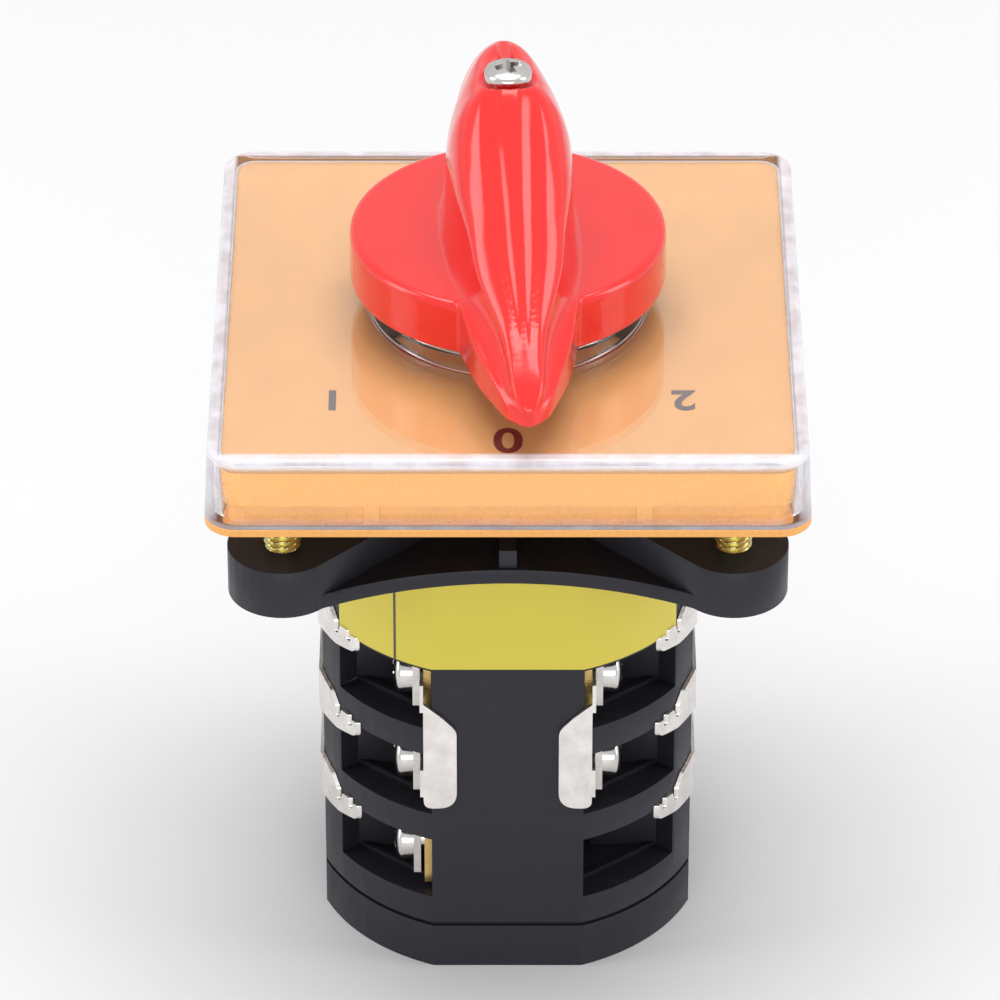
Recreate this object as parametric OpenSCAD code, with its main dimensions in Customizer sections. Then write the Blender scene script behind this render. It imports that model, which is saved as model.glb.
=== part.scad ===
// Rotary cam switch for reversing a motor: three contact stages under a panel plate,
// a clear cover over a yellow legend plate, and a red handle that turns 45 degrees each way.
// Millimetres. Z is the shaft, the origin is the middle of the base, -Y is the side of the middle mark.

/* [Body] */
// Radius of the round corners of the body
body_r = 22; // [21.5:0.25:23]
// Distance from the shaft axis to the four flats of the body
body_flat = 20.4; // [19.8:0.1:21]
// Height of the closing base
base_h = 6; // [5:0.5:8]
// Height of one contact stage
stage_h = 11.35; // [11:0.05:12.5]
// Height of the closed rim and floor of a stage, under its windows
rim_h = 3.5; // [3:0.1:3.8]
// Width of the post between two front windows
post_w = 16.7; // [16.5:0.1:17.5]
// Width of the post between a front and a rear window
side_post_w = 24; // [22:0.5:26]
// Distance from the axis to the back wall of a wire window
window_back = 10.5; // [10.2:0.1:10.8]

/* [Mounting flange] */
// Height of the detent housing under the flange
drum_h = 13.65; // [12.5:0.25:16]
// Thickness of the four fixing arms
arm_t = 5.7; // [5:0.1:7]
// Thickness of the web between the arms
web_t = 1.75; // [1.5:0.25:2.5]
// Distance from the edge of the front plate to the fixing screws
fix_edge = 8; // [7.5:0.25:8.5]
// Radius of the rounded arm ends
arm_end_r = 5.9; // [5:0.1:6.5]
// How far the web's hollowed edge lies inside the line between two screws
web_hollow = 0.6; // [0.2:0.1:1.5]
// Diameter of the fixing screws
fix_d = 4; // [3.5:0.5:4.5]

/* [Front plate] */
// Room for the panel between the fixing arms and the front plate
panel_gap = 6.1; // [4.5:0.1:8]
// Width of the square front plate
front_w = 64; // [63.5:0.5:70]
// Height of the clear cover
cover_h = 9.3; // [9:0.1:11]
// Wall thickness of the clear cover
cover_wall = 1.3; // [1:0.1:1.4]
// Corner radius of the clear cover
cover_corner_r = 3.4; // [3:0.1:4.5]
// How much each side of the clear cover leans inwards
cover_draft = 0.4; // [0.2:0.1:0.6]
// Outer radius of the collar on the clear cover
collar_r = 17; // [15.5:0.5:19]
// Height of the collar on the clear cover
collar_h = 2; // [1:0.25:2.5]
// Thickness of the legend plate
legend_t = 0.8; // [0.6:0.1:1.1]

/* [Handle] */
// Radius of the round disc of the handle
disc_r = 17; // [16:0.25:19]
// Height of the round disc of the handle
disc_h = 6.1; // [5:0.1:7]
// Height of the grip above the disc
grip_h = 20.6; // [19:0.2:24]
// Distance from the axis to the tip of the grip
grip_tip = 30.7; // [28:0.1:31.5]
// Half width of the grip at its foot
grip_half_w = 7.6; // [7:0.1:8.5]
// Gap between the clear cover and the disc
handle_gap = 3.5; // [3:0.1:4.5]
// Angle by which the handle is set off on its square
handle_skew = 3.5; // [0:0.5:4]

/* [Contacts] */
// Radius of the shaft
shaft_r = 4; // [3.5:0.1:4.5]
// Running clearance of the shaft in its two bearings
shaft_clear = 0.05; // [0.03:0.01:0.08]
// Mean radius of the contact cams
cam_r = 8; // [7.6:0.1:8.2]
// Cam lift for the full turn to one side
cam_lift = 1.5; // [1.2:0.1:1.6]
// Turn of the handle to each side
turn = 45; // [40:1:48]
// Gap between the cam and the plunger that follows it
follow_gap = 0.35; // [0.3:0.05:0.5]
// Width of a plunger
plunger_w = 5; // [4.4:0.1:5.2]
// Thickness of the brass terminal plates
plate_t = 0.85; // [0.7:0.05:1]
// Radius of a terminal screw's head
terminal_head_r = 2.6; // [2.3:0.1:2.8]
// Thickness of the jumper links
link_t = 0.4; // [0.3:0.05:0.5]

/* [Hidden] */
$fn = 96;
cut = 1;
side_angles = [0, 90, 180, 270];
stage_count = 3;

// Heights, from the base up
function stage_z(k) = base_h + (stage_count - k) * stage_h;
drum_z = base_h + stage_count * stage_h;
flange_z = drum_z + drum_h;
arm_top_z = flange_z + arm_t;
front_z = arm_top_z + panel_gap;
cover_top_z = front_z + cover_h;
handle_z = cover_top_z + handle_gap;
disc_top_z = handle_z + disc_h;

// Inside of a stage
channel_half = 5.6;
channel_wall = 1.2;
channel_end = body_flat - channel_wall;
cam_margin = 6;
cam_gap = 0.3;
cavity_r = cam_r + cam_lift * (turn + cam_margin) / turn + cam_gap;
window_rim = 3.6;
window_side_x = body_r - window_rim;
window_corner = 1.8;
window_back_x = window_side_x - window_corner;
drum_edge = 0.5;
drum_roof = 2;
plate_h = 1.5;
plate_clear = 0.1;
bearing_bore_r = shaft_r + shaft_clear;
shaft_foot = 2;
floor_gap = 1.4;
floor_bore_r = shaft_r + floor_gap;

// Long screws that hold the stages together
tie_r = 1.5;
tie_edge = 4.8;
tie_x = body_flat - tie_edge;
tie_clear = 0.1;
tie_head_r = 2.8;
tie_head_h = 2;
tie_head_clear = 0.4;
tie_bite = 8;
tie_length = drum_z + plate_h + tie_bite - tie_head_clear;
drum_r = tie_x + tie_r + drum_edge;

module body_outline(grow = 0) {
    intersection() {
        circle(r = body_r + grow);
        square(2 * (body_flat + grow), center = true);
    }
}

module tie_holes(z, h) {
    for (side = [-1, 1])
        translate([side * tie_x, 0, z]) cylinder(r = tie_r + tie_clear, h = h);
}

module rear_cover() color("#2e2f33") difference() {
    groove_h = 0.5;
    groove_d = 0.4;
    union() {
        linear_extrude(base_h - groove_h) body_outline();
        linear_extrude(base_h) body_outline(-groove_d);
    }
    translate([0, 0, shaft_foot - shaft_clear]) cylinder(r = bearing_bore_r, h = base_h);
    tie_holes(-cut, base_h + 2 * cut);
    for (side = [-1, 1])
        translate([side * tie_x, 0, -cut])
            cylinder(r = tie_head_r + tie_head_clear, h = cut + tie_head_h + tie_head_clear);
}

module tie_screws() color("#c9c6bd") {
    slot_w = 0.8;
    slot_d = 0.9;
    for (side = [-1, 1]) translate([side * tie_x, 0, tie_head_clear]) difference() {
        union() {
            cylinder(r = tie_head_r, h = tie_head_h);
            cylinder(r = tie_r, h = tie_length);
        }
        translate([-tie_head_r, -slot_w / 2, -cut]) cube([2 * tie_head_r, slot_w, cut + slot_d]);
    }
}

// One wire window: its outline widens from its back wall to the rim
module window_outline() {
    polygon([
        [post_w / 2, window_back],
        [window_back_x, window_back],
        [window_side_x, side_post_w / 2],
        [body_r + cut, side_post_w / 2],
        [body_r + cut, body_r + cut],
        [post_w / 2, body_r + cut]]);
}

module stage_void() {
    circle(r = cavity_r);
    square([2 * channel_half, 2 * channel_end], center = true);
    for (end = [0, 1]) mirror([0, end, 0]) {
        translate([-post_w / 2 - plate_t, tab_y - tab_clear])
            square([post_w + 2 * plate_t, tab_t + 2 * tab_clear]);
        for (side = [0, 1]) mirror([side, 0, 0]) window_outline();
    }
}

module stage_housing(k) color("#2e2f33") translate([0, 0, stage_z(k)]) difference() {
    rib_w = 0.7;
    rib_h = 0.4;
    union() {
        linear_extrude(rim_h) body_outline();
        linear_extrude(stage_h) difference() {
            body_outline();
            stage_void();
        }
        // Slanted wire ribs on the floor of each window
        linear_extrude(rim_h + rib_h) for (end = [0, 1], side = [0, 1])
            mirror([0, end, 0]) mirror([side, 0, 0])
                polygon([
                    [window_back_x - rib_w, window_back],
                    [window_back_x, window_back],
                    [post_w / 2, side_post_w / 2 + plunger_w],
                    [post_w / 2, side_post_w / 2 + plunger_w - rib_w]]);
    }
    translate([0, 0, -cut]) cylinder(r = floor_bore_r, h = rim_h + 2 * cut);
    tie_holes(-cut, stage_h + 2 * cut);
    for (place = terminals(k)) terminal_place(place)
        rotate([0, 90, 0]) cylinder(r = terminal_r, h = 2 * (post_w / 2 - terminal_seat), center = true);
}

// Terminals: their places in a stage as [side, end], where end -1 is the front
function terminals(k) = [for (end = [-1, 1], side = [-1, 1])
    if (!(k == stage_count && end == -1 && side == 1)) [side, end]];
terminal_y = 15;
terminal_r = 1.4;
seat_wall = 0.7;
terminal_seat = channel_half + seat_wall;
terminal_head_h = 2.2;
washer_t = 0.8;
washer_half = 2.95;
plate_low = 0.5;
plate_end = 0.3;
plate_top_gap = 0.4;
terminal_h = stage_h - plate_top_gap - washer_half;
slot_share = 0.7;

// Moves to a terminal screw's centre on the post's side wall, with its axis along X
module terminal_place(place) {
    translate([place[0] * post_w / 2, place[1] * terminal_y, terminal_h])
        mirror([place[0] < 0 ? 1 : 0, 0, 0]) children();
}

// Contact tabs stand inside the passages, in line with the bridges
tab_gap = 0.2;
tab_y = cavity_r + tab_gap;
tab_t = 0.8;
tab_clear = 0.35;
tab_side = 0.7;
tab_in = plunger_w / 2 + tab_side;
tab_half_h = 1.9;
pad_t = 0.5;
pad_r = 1;
pad_x = tab_in + pad_r;
contact_left = 0.1;
contact_gap = cam_lift + contact_left;
contact_rise = 3.7;
contact_h = rim_h + contact_rise;

module fixed_contacts(k) color("#c9a04a") translate([0, 0, stage_z(k)]) {
    for (end = [-1, 1], side = [-1, 1]) {
        wired = !(k == stage_count && end == -1 && side == 1);
        mirror([side < 0 ? 1 : 0, 0, 0]) mirror([0, end < 0 ? 1 : 0, 0]) difference() {
            union() {
                translate([tab_in, tab_y, contact_h - tab_half_h])
                    cube([post_w / 2 + (wired ? plate_t : 0) - tab_in, tab_t, 2 * tab_half_h]);
                translate([pad_x, tab_y + tab_t, contact_h])
                    rotate([-90, 0, 0]) cylinder(r = pad_r, h = pad_t, $fn = 48);
                if (wired) translate([post_w / 2, tab_y, rim_h + plate_low])
                    cube([plate_t, terminal_y + washer_half + plate_end - tab_y,
                        stage_h - rim_h - plate_low - plate_top_gap]);
            }
            translate([post_w / 2, terminal_y, terminal_h]) rotate([0, 90, 0])
                cylinder(r = terminal_r, h = 2 * (plate_t + cut), center = true, $fn = 48);
        }
    }
}

module clamp_washers(k) color("#d9d6cf") translate([0, 0, stage_z(k)])
    for (place = terminals(k)) terminal_place(place)
        translate([plate_t + link_t, 0, 0]) difference() {
            translate([0, -washer_half, -washer_half])
                cube([washer_t, 2 * washer_half, 2 * washer_half]);
            rotate([0, 90, 0]) cylinder(r = terminal_r, h = 2 * (washer_t + cut), center = true);
        }

module terminal_screws(k) color("#d9d6cf") translate([0, 0, stage_z(k)]) {
    arm_w = 0.8;
    arm_d = 1.1;
    for (place = terminals(k)) terminal_place(place) difference() {
        union() {
            translate([terminal_seat - post_w / 2, 0, 0]) rotate([0, 90, 0])
                cylinder(r = terminal_r, h = post_w / 2 - terminal_seat + plate_t + link_t + washer_t);
            translate([plate_t + link_t + washer_t, 0, 0]) rotate([0, 90, 0])
                cylinder(r = terminal_head_r, h = terminal_head_h);
        }
        for (turned = [0, 90]) rotate([turned, 0, 0])
            translate([plate_t + link_t + washer_t + terminal_head_h - arm_d,
                -slot_share * terminal_head_r, -arm_w / 2])
                cube([arm_d + cut, 2 * slot_share * terminal_head_r, arm_w]);
    }
}

// Jumper links on the front post, each from the first stage down to the second
link_w = 3.7;
link_drop = 1;
link_top = 1;
link_slope = 3.4;
link_corner = 1.8;
link_arm_h = 3.6;
link_gap = 0.1;

module jumper() color("#d8d0c4") {
    low = stage_z(2) + terminal_h - link_arm_h / 2 - link_drop;
    high = stage_z(1) + terminal_h - link_arm_h / 2 + link_top;
    edge = post_w / 2 + plate_t;
    front = body_flat + link_gap;
    difference() {
        union() {
            translate([edge + link_t, -front, 0]) rotate([90, 0, 0]) linear_extrude(link_t)
                polygon([
                    [0, low], [-link_w + link_corner, low], [-link_w, low + link_corner],
                    [-link_w, high - link_slope], [-link_t, high], [0, high]]);
            for (k = [1, 2])
                translate([edge, -front - link_t, stage_z(k) + terminal_h - link_arm_h / 2])
                    cube([link_t, front + link_t - terminal_y + washer_half, link_arm_h]);
        }
        for (k = [1, 2]) translate([edge, -terminal_y, stage_z(k) + terminal_h]) rotate([0, 90, 0])
            cylinder(r = terminal_r, h = 2 * (link_t + cut), center = true);
    }
}
module jumper_right() jumper();
module jumper_left() mirror([1, 0, 0]) jumper();

// Side clips hold the stages at both sides; a forked hook ends each clip in the window's corner
clip_t = 0.4;
clip_drop = 1.9;
clip_rise = 5;
clip_end_rise = 2.4;
clip_in = 0.1;
clip_y = side_post_w / 2 - clip_in;
hook_reach = 2.6;
hook_y = side_post_w / 2 + hook_reach;
hook_rise = 0.35;
hook_gap = 0.9;
hook_prong = 0.7;
clip_gap = 0.05;

// One half of a clip as [y, z], from its middle to the fork in the window's corner
module clip_outline() {
    flat_half = sqrt(body_r * body_r - body_flat * body_flat);
    prong_y = hook_y - hook_prong;
    polygon([
        [0, -clip_drop], [hook_y, -clip_drop], [hook_y, hook_rise], [prong_y, hook_rise],
        [prong_y, hook_gap - clip_drop], [prong_y - hook_gap, hook_gap - clip_drop],
        [prong_y - hook_gap, hook_rise], [clip_y, hook_rise], [clip_y, clip_end_rise],
        [flat_half, clip_rise], [0, clip_rise]]);
}

module side_clips(k) color("#d5d6da") translate([0, 0, stage_z(k) + stage_h])
    for (side = [0, 1]) mirror([side, 0, 0]) intersection() {
        translate([0, 0, -stage_h]) linear_extrude(2 * stage_h) difference() {
            body_outline(clip_t + clip_gap);
            body_outline(clip_gap);
        }
        rotate([90, 0, 90]) linear_extrude(body_r + cut) for (end = [0, 1])
            mirror([end, 0, 0]) clip_outline();
    }

// Plate that closes the top stage inside the detent housing
module detent_plate() color("#3a3b40") difference() {
    plate_r = drum_r - plate_clear;
    translate([0, 0, drum_z]) cylinder(r = plate_r, h = plate_h);
    translate([0, 0, drum_z - cut]) cylinder(r = floor_bore_r, h = plate_h + 2 * cut);
    tie_holes(drum_z - cut, plate_h + 2 * cut);
}

fix_pitch = front_w - 2 * fix_edge;
fix_half = fix_pitch / 2;
web_waist = fix_half - web_hollow;
// The hollowed edge of the web runs into the round arm ends, just inside their edge
web_tuck = 0.3;
tuck_r = arm_end_r - web_tuck;
waist_r = (fix_half * fix_half + web_hollow * web_hollow - tuck_r * tuck_r) / (2 * (tuck_r + web_hollow));
neck_r = 16.5;
boss_r = 7.5;
boss_gap = 0.6;
web_rib_w = 1.9;
web_rib_h = 2.2;
web_rib_end = 0.4;
tie_boss_r = 2.6;

module arms_outline() {
    for (turned = [45, 135]) rotate(turned) {
        square([fix_pitch * sqrt(2), 2 * arm_end_r], center = true);
        for (end = [-1, 1]) translate([end * fix_pitch / sqrt(2), 0]) circle(r = arm_end_r);
    }
}

module web_outline() {
    touch = arm_end_r / (tuck_r + waist_r);
    near = fix_half * (1 - touch);
    far = fix_half + (waist_r - web_hollow) * touch;
    difference() {
        for (turned = [0, 90]) rotate(turned) polygon([
            [-fix_half, -fix_half], [-near, -far], [near, -far], [fix_half, -fix_half],
            [fix_half, fix_half], [near, far], [-near, far], [-fix_half, fix_half]]);
        for (a = side_angles) rotate(a)
            translate([0, web_waist + waist_r]) circle(r = waist_r, $fn = 180);
    }
}

module mounting_flange() color("#2b2c30") difference() {
    union() {
        translate([0, 0, drum_z]) linear_extrude(drum_h) body_outline();
        translate([0, 0, flange_z]) {
            linear_extrude(web_t) web_outline();
            linear_extrude(arm_t) arms_outline();
            cylinder(r = neck_r, h = arm_t);
            cylinder(r = boss_r, h = arm_t + panel_gap - boss_gap);
            for (a = side_angles) rotate(a)
                translate([0, -web_rib_w / 2, 0]) cube([web_waist - web_rib_end, web_rib_w, web_t + web_rib_h]);
        }
    }
    translate([0, 0, drum_z - cut]) difference() {
        cylinder(r = drum_r, h = cut + drum_h - drum_roof);
        for (side = [-1, 1]) translate([side * tie_x, 0, cut + plate_h])
            cylinder(r = tie_boss_r, h = drum_h);
    }
    tie_holes(drum_z, plate_h + tie_bite + tie_head_clear);
    translate([0, 0, drum_z]) cylinder(r = bearing_bore_r, h = drum_h + arm_t + panel_gap);
    for (x = [-1, 1], y = [-1, 1]) translate([x * fix_pitch / 2, y * fix_pitch / 2, flange_z - cut])
        cylinder(r = fix_d / 2, h = arm_t + 2 * cut);
}

// Detent: an eight-lobed wheel on the shaft between two spring strips with a bent nose
wheel_room = 1.4;
wheel_r = tie_x - tie_boss_r - wheel_room;
wheel_lobe = 1.1;
wheel_h = 5;
wheel_gap = 1.2;
wheel_lobes = 8;
nose_r = 1.3;
nose_gap = 0.35;
strip_t = 0.6;
strip_h = 4;
strip_lean = 0.72;
wheel_z = drum_z + plate_h + wheel_gap;

function wheel_radius(a) = wheel_r - wheel_lobe * pow(cos(a * wheel_lobes / 2), 4);

module star_wheel() color("#e8e4d8") translate([0, 0, wheel_z]) difference() {
    linear_extrude(wheel_h)
        polygon([for (a = [0 : 2.5 : 357.5]) wheel_radius(a) * [cos(a), sin(a)]]);
    translate([0, 0, -cut]) cylinder(r = shaft_r, h = wheel_h + 2 * cut);
}

module detent_springs() color("#b9bcc2") {
    nose_x = wheel_r - wheel_lobe + nose_gap + nose_r;
    wall_x = nose_x + strip_lean;
    strip_seat = sqrt(drum_r * drum_r - wall_x * wall_x);
    strip_z = wheel_z + (wheel_h - strip_h) / 2;
    for (side = [0, 1]) mirror([side, 0, 0]) translate([0, 0, strip_z]) linear_extrude(strip_h) {
        difference() {
            translate([nose_x, 0]) circle(r = nose_r);
            translate([nose_x, 0]) circle(r = nose_r - strip_t);
            translate([nose_x, -nose_r]) square([2 * nose_r, 2 * nose_r]);
        }
        for (end = [-1, 1])
            polygon([
                [nose_x - strip_t / 2, end * (nose_r - strip_t)],
                [nose_x - strip_t / 2, end * nose_r],
                [wall_x - nose_gap, end * strip_seat],
                [wall_x - nose_gap, end * (strip_seat - strip_t)]]);
    }
}

// Yellow rating label, left bare but for a divider line, wrapped round the front of the housing
label_t = 0.2;
label_low = 0.4;
label_high = 0.4;
label_turn = 56;

module rating_label() color("#dccb50") translate([0, 0, drum_z + label_low])
    linear_extrude(drum_h - label_low - label_high) intersection() {
        difference() {
            body_outline(label_t);
            body_outline();
        }
        polygon([
            [0, 0],
            2 * body_r * [-sin(label_turn), -cos(label_turn)],
            [0, -4 * body_r],
            2 * body_r * [sin(label_turn), -cos(label_turn)]]);
    }

// Yellow front frame: a lip, a set-back skirt with ribs, walls and the seats of the fixing screws
frame_lip_h = 0.8;
frame_skirt_h = 3;
frame_step = 0.3;
frame_wall = 1.6;
cover_clear = 0.15;
frame_half = front_w / 2 - cover_draft - cover_wall - cover_clear;
frame_floor = 1.2;
frame_bore_r = 9;
rib_x = 14.35;
rib_w = 1.7;
rib_in = 0.15;

module rounded_square(half, r) {
    for (turned = [0, 90]) rotate(turned) square([2 * half, 2 * (half - r)], center = true);
    for (x = [-1, 1], y = [-1, 1]) translate([x * (half - r), y * (half - r)]) circle(r = r, $fn = 48);
}

module front_frame() color("#f2b14c") translate([0, 0, front_z]) difference() {
    inner_r = cover_corner_r - cover_wall;
    top = cover_h - cover_wall - cover_clear - legend_t;
    union() {
        linear_extrude(frame_lip_h) rounded_square(front_w / 2, cover_corner_r);
        linear_extrude(frame_skirt_h) rounded_square(frame_half - frame_step, inner_r);
        translate([0, 0, frame_skirt_h]) linear_extrude(top - frame_skirt_h)
            rounded_square(frame_half, inner_r);
        for (a = side_angles, side = [-1, 1]) rotate(a)
            translate([side * rib_x - rib_w / 2, frame_half - frame_step - rib_in, 0])
                cube([rib_w, frame_step + rib_in, frame_skirt_h]);
    }
    translate([0, 0, frame_floor]) linear_extrude(cover_h)
        rounded_square(frame_half - frame_step - frame_wall, inner_r);
    translate([0, 0, -cut]) cylinder(r = frame_bore_r, h = frame_floor + 2 * cut);
    for (x = [-1, 1], y = [-1, 1]) translate([x * fix_pitch / 2, y * fix_pitch / 2, -cut])
        cylinder(r = fix_d / 2, h = frame_floor + 2 * cut);
}

legend_z = cover_top_z - cover_wall - cover_clear - legend_t;
legend_bore_r = 7.5;

module legend_plate() color("#f6c078") translate([0, 0, legend_z]) difference() {
    linear_extrude(legend_t) rounded_square(frame_half, cover_corner_r - cover_wall);
    translate([0, 0, -cut]) cylinder(r = legend_bore_r, h = legend_t + 2 * cut);
}

// Clear cover: a drafted open box with a collar round the handle's hub
module cover_shell(half, h, r) {
    linear_extrude(h, scale = (half - cover_draft) / half) rounded_square(half, r);
}

module clear_cover() color([0.92, 0.95, 0.97, 0.35]) difference() {
    wall_h = cover_h - frame_lip_h;
    hole_r = collar_r - cover_wall;
    union() {
        translate([0, 0, front_z + frame_lip_h]) cover_shell(front_w / 2, wall_h, cover_corner_r);
        translate([0, 0, cover_top_z - cover_wall]) cylinder(r = collar_r, h = cover_wall + collar_h);
    }
    translate([0, 0, front_z + frame_lip_h - cut]) linear_extrude(wall_h + cut - cover_wall)
        rounded_square(frame_half + cover_clear, cover_corner_r - cover_wall);
    translate([0, 0, cover_top_z - cover_wall - cut]) cylinder(r = hole_r, h = cover_wall + collar_h + 2 * cut);
}

// Fixing screws, from the front frame through the panel gap into the arms
fix_head_r = 3.6;
fix_head_h = 2.4;
fix_end_gap = 0.5;

module panel_screws() color("#cdbb62") for (x = [-1, 1], y = [-1, 1])
    translate([x * fix_pitch / 2, y * fix_pitch / 2, flange_z + fix_end_gap]) difference() {
        length = arm_t + panel_gap + frame_floor - fix_end_gap;
        cross_w = 1;
        union() {
            cylinder(r = fix_d / 2, h = length);
            translate([0, 0, length]) cylinder(r = fix_head_r, h = fix_head_h);
        }
        for (turned = [0, 90]) rotate(turned)
            translate([-fix_head_r / 2, -cross_w / 2, length + fix_head_h / 2])
                cube([fix_head_r, cross_w, fix_head_h]);
    }

// Rotor
shaft_top_gap = 7.6;
shaft_top_z = disc_top_z + grip_h - shaft_top_gap;
hub_r = 6.5;
hub_gap = 0.9;
head_r = 2.45;
head_h = 2.1;
recess_r = 3.05;
recess_depth = 3.9;
screw_r = 1.5;
screw_length = 9;
recess_z = disc_top_z + grip_h - recess_depth;

module shaft() color("#c4c6ca") difference() {
    translate([0, 0, shaft_foot]) cylinder(r = shaft_r, h = shaft_top_z - shaft_foot);
    translate([0, 0, recess_z - screw_length]) cylinder(r = screw_r, h = screw_length + cut);
}

// Cam outline: the radius rises in proportion to the angle under both followers, in opposite
// senses at the front and the rear, and rounds over between them at the sides
function cam_ramp(a) = let (lim = turn + cam_margin)
    abs(a) <= lim ? a / turn : sign(a) * lim / turn * cos((abs(a) - lim) / (90 - lim) * 90);
function cam_radius(a) = cam_r + cam_lift * (a > 180 ? cam_ramp(a - 270) : -cam_ramp(a - 90));
cam_low = 4.4;
cam_h = 5.6;

module cam(k) color("#f3efe2") translate([0, 0, stage_z(k) + cam_low]) difference() {
    linear_extrude(cam_h) polygon([for (a = [0 : 3 : 357]) cam_radius(a) * [cos(a), sin(a)]]);
    translate([0, 0, -cut]) cylinder(r = shaft_r, h = cam_h + 2 * cut);
}

// Plungers, bridges and springs. A stage's front plunger closes in one sense of turning and its
// rear plunger in the other. Lengths along Y are counted outwards from the shaft axis.
plunger_in = cam_r + follow_gap;
plunger_h = 4;
follower_r = 1.2;
bridge_back = 1.2;
bridge_t = 0.7;
bridge_side = 0.4;
bridge_half = channel_half - bridge_side;
bridge_h = 3.4;
pads_y = tab_y + tab_t + pad_t + contact_gap;
bridge_y = pads_y + pad_t;
bridge_clear = 0.05;
plunger_out = bridge_y + bridge_t + bridge_back;
spring_gap = 0.1;

module plunger() difference() {
    translate([0, 0, contact_h - plunger_h / 2]) union() {
        translate([0, plunger_in + follower_r, 0]) cylinder(r = follower_r, h = plunger_h);
        translate([-follower_r, plunger_in + follower_r, 0]) cube([2 * follower_r, follower_r, plunger_h]);
        translate([-plunger_w / 2, plunger_in + 1.5 * follower_r, 0])
            cube([plunger_w, plunger_out - plunger_in - 1.5 * follower_r, plunger_h]);
    }
    translate([-plunger_w, bridge_y - bridge_clear, contact_h - bridge_h / 2 - bridge_clear])
        cube([2 * plunger_w, bridge_t + 2 * bridge_clear, bridge_h + 2 * bridge_clear]);
}

module bridge() {
    translate([-bridge_half, bridge_y, contact_h - bridge_h / 2 + bridge_clear])
        cube([2 * bridge_half, bridge_t, bridge_h - 2 * bridge_clear]);
    for (side = [-1, 1]) translate([side * pad_x, pads_y, contact_h])
        rotate([-90, 0, 0]) cylinder(r = pad_r - bridge_clear, h = pad_t, $fn = 48);
}

// Contact spring: a helix from the plunger's back to the wall of the channel
coil_r = 1.5;
coil_wire = 0.2;
coil_turns = 3;
coil_steps = 12;
coil_sides = 6;

coil_from = plunger_out + spring_gap + coil_wire;
coil_to = channel_end - spring_gap - coil_wire;
function coil_point(i) = let (a = 360 * i / coil_steps)
    [coil_r * cos(a), coil_from + (coil_to - coil_from) * i / coil_steps / coil_turns, coil_r * sin(a)];
// Least gap of the wire to itself, measured between points at least half a turn apart
coil_gap = min([for (i = [0 : coil_turns * coil_steps], j = [i + coil_steps / 2 : coil_turns * coil_steps])
    norm(coil_point(i) - coil_point(j))]) - 2 * coil_wire;
echo(contact_spring_least_gap = coil_gap);

module coil() {
    rings = coil_turns * coil_steps;
    points = [for (i = [0 : rings], j = [0 : coil_sides - 1])
        let (a = 360 * i / coil_steps, b = 360 * j / coil_sides, r = coil_r + coil_wire * cos(b))
            [r * cos(a), coil_from + (coil_to - coil_from) * i / rings + coil_wire * sin(b), r * sin(a)]];
    walls = [for (i = [0 : rings - 1], j = [0 : coil_sides - 1], half = [0, 1])
        let (p = i * coil_sides + j, q = i * coil_sides + (j + 1) % coil_sides)
            half == 0 ? [p, p + coil_sides, q] : [q, p + coil_sides, q + coil_sides]];
    caps = concat(
        [for (j = [1 : coil_sides - 2]) [0, j, j + 1]],
        [for (j = [1 : coil_sides - 2])
            [rings * coil_sides, rings * coil_sides + j + 1, rings * coil_sides + j]]);
    translate([0, 0, contact_h]) polyhedron(points, concat(walls, caps));
}

module at_front(k) translate([0, 0, stage_z(k)]) rotate(180) children();
module at_rear(k) translate([0, 0, stage_z(k)]) children();
module front_plunger(k) color("#ece7da") at_front(k) plunger();
module rear_plunger(k) color("#ece7da") at_rear(k) plunger();
module front_bridge(k) color("#c9a04a") at_front(k) bridge();
module rear_bridge(k) color("#c9a04a") at_rear(k) bridge();
module front_spring(k) color("#b9bcc2") at_front(k) coil();
module rear_spring(k) color("#b9bcc2") at_rear(k) coil();

// Handle. The grip is a loft of cross-sections from its rear end to the tip of its tail. Each row
// gives, as shares: place along the grip, foot half width, shoulder half width, shoulder height,
// crest height, foot height and depth of the two flutes.
grip_rear_share = 0.5;
grip_shares = [
    [-0.500, 0.22, 0.14, 0.02, 0.05, 0.00, 0],
    [-0.440, 0.52, 0.42, 0.12, 0.34, 0.00, 0],
    [-0.330, 0.78, 0.68, 0.24, 0.72, 0.00, 0],
    [-0.200, 0.92, 0.82, 0.30, 0.95, 0.00, 0],
    [-0.100, 0.98, 0.87, 0.34, 1.00, 0.00, 0],
    [0.000, 1.00, 0.89, 0.38, 0.985, 0.00, 0],
    [0.100, 1.00, 0.89, 0.42, 0.92, 0.00, 0.01],
    [0.260, 0.97, 0.84, 0.41, 0.71, 0.00, 0.03],
    [0.420, 0.92, 0.73, 0.32, 0.50, 0.00, 0.035],
    [0.540, 0.85, 0.58, 0.20, 0.34, 0.00, 0.03],
    [0.720, 0.63, 0.33, 0.06, 0.12, -0.08, 0.02],
    [0.880, 0.36, 0.22, -0.06, -0.05, -0.16, 0],
    [1.000, 0.16, 0.13, -0.20, -0.19, -0.24, 0]];
grip_stations = 40;
flank_steps = 5;
dome_steps = 12;
crest_share = 0.28;

// Smooth curve through column c of the table at the place s
function grip_row(s, i = 0) = i >= len(grip_shares) - 2 || s < grip_shares[i + 1][0] ? i : grip_row(s, i + 1);
function grip_slope(i, c) = let (a = max(i - 1, 0), b = min(i + 1, len(grip_shares) - 1))
    (grip_shares[b][c] - grip_shares[a][c]) / (grip_shares[b][0] - grip_shares[a][0]);
function grip_at(s, c) = let (
    i = grip_row(s), p = grip_shares[i], q = grip_shares[i + 1], w = q[0] - p[0], t = (s - p[0]) / w)
    p[c] * (1 + 2 * t) * (1 - t) * (1 - t) + q[c] * t * t * (3 - 2 * t)
    + w * t * (1 - t) * ((1 - t) * grip_slope(i, c) - t * grip_slope(i + 1, c));

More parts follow.
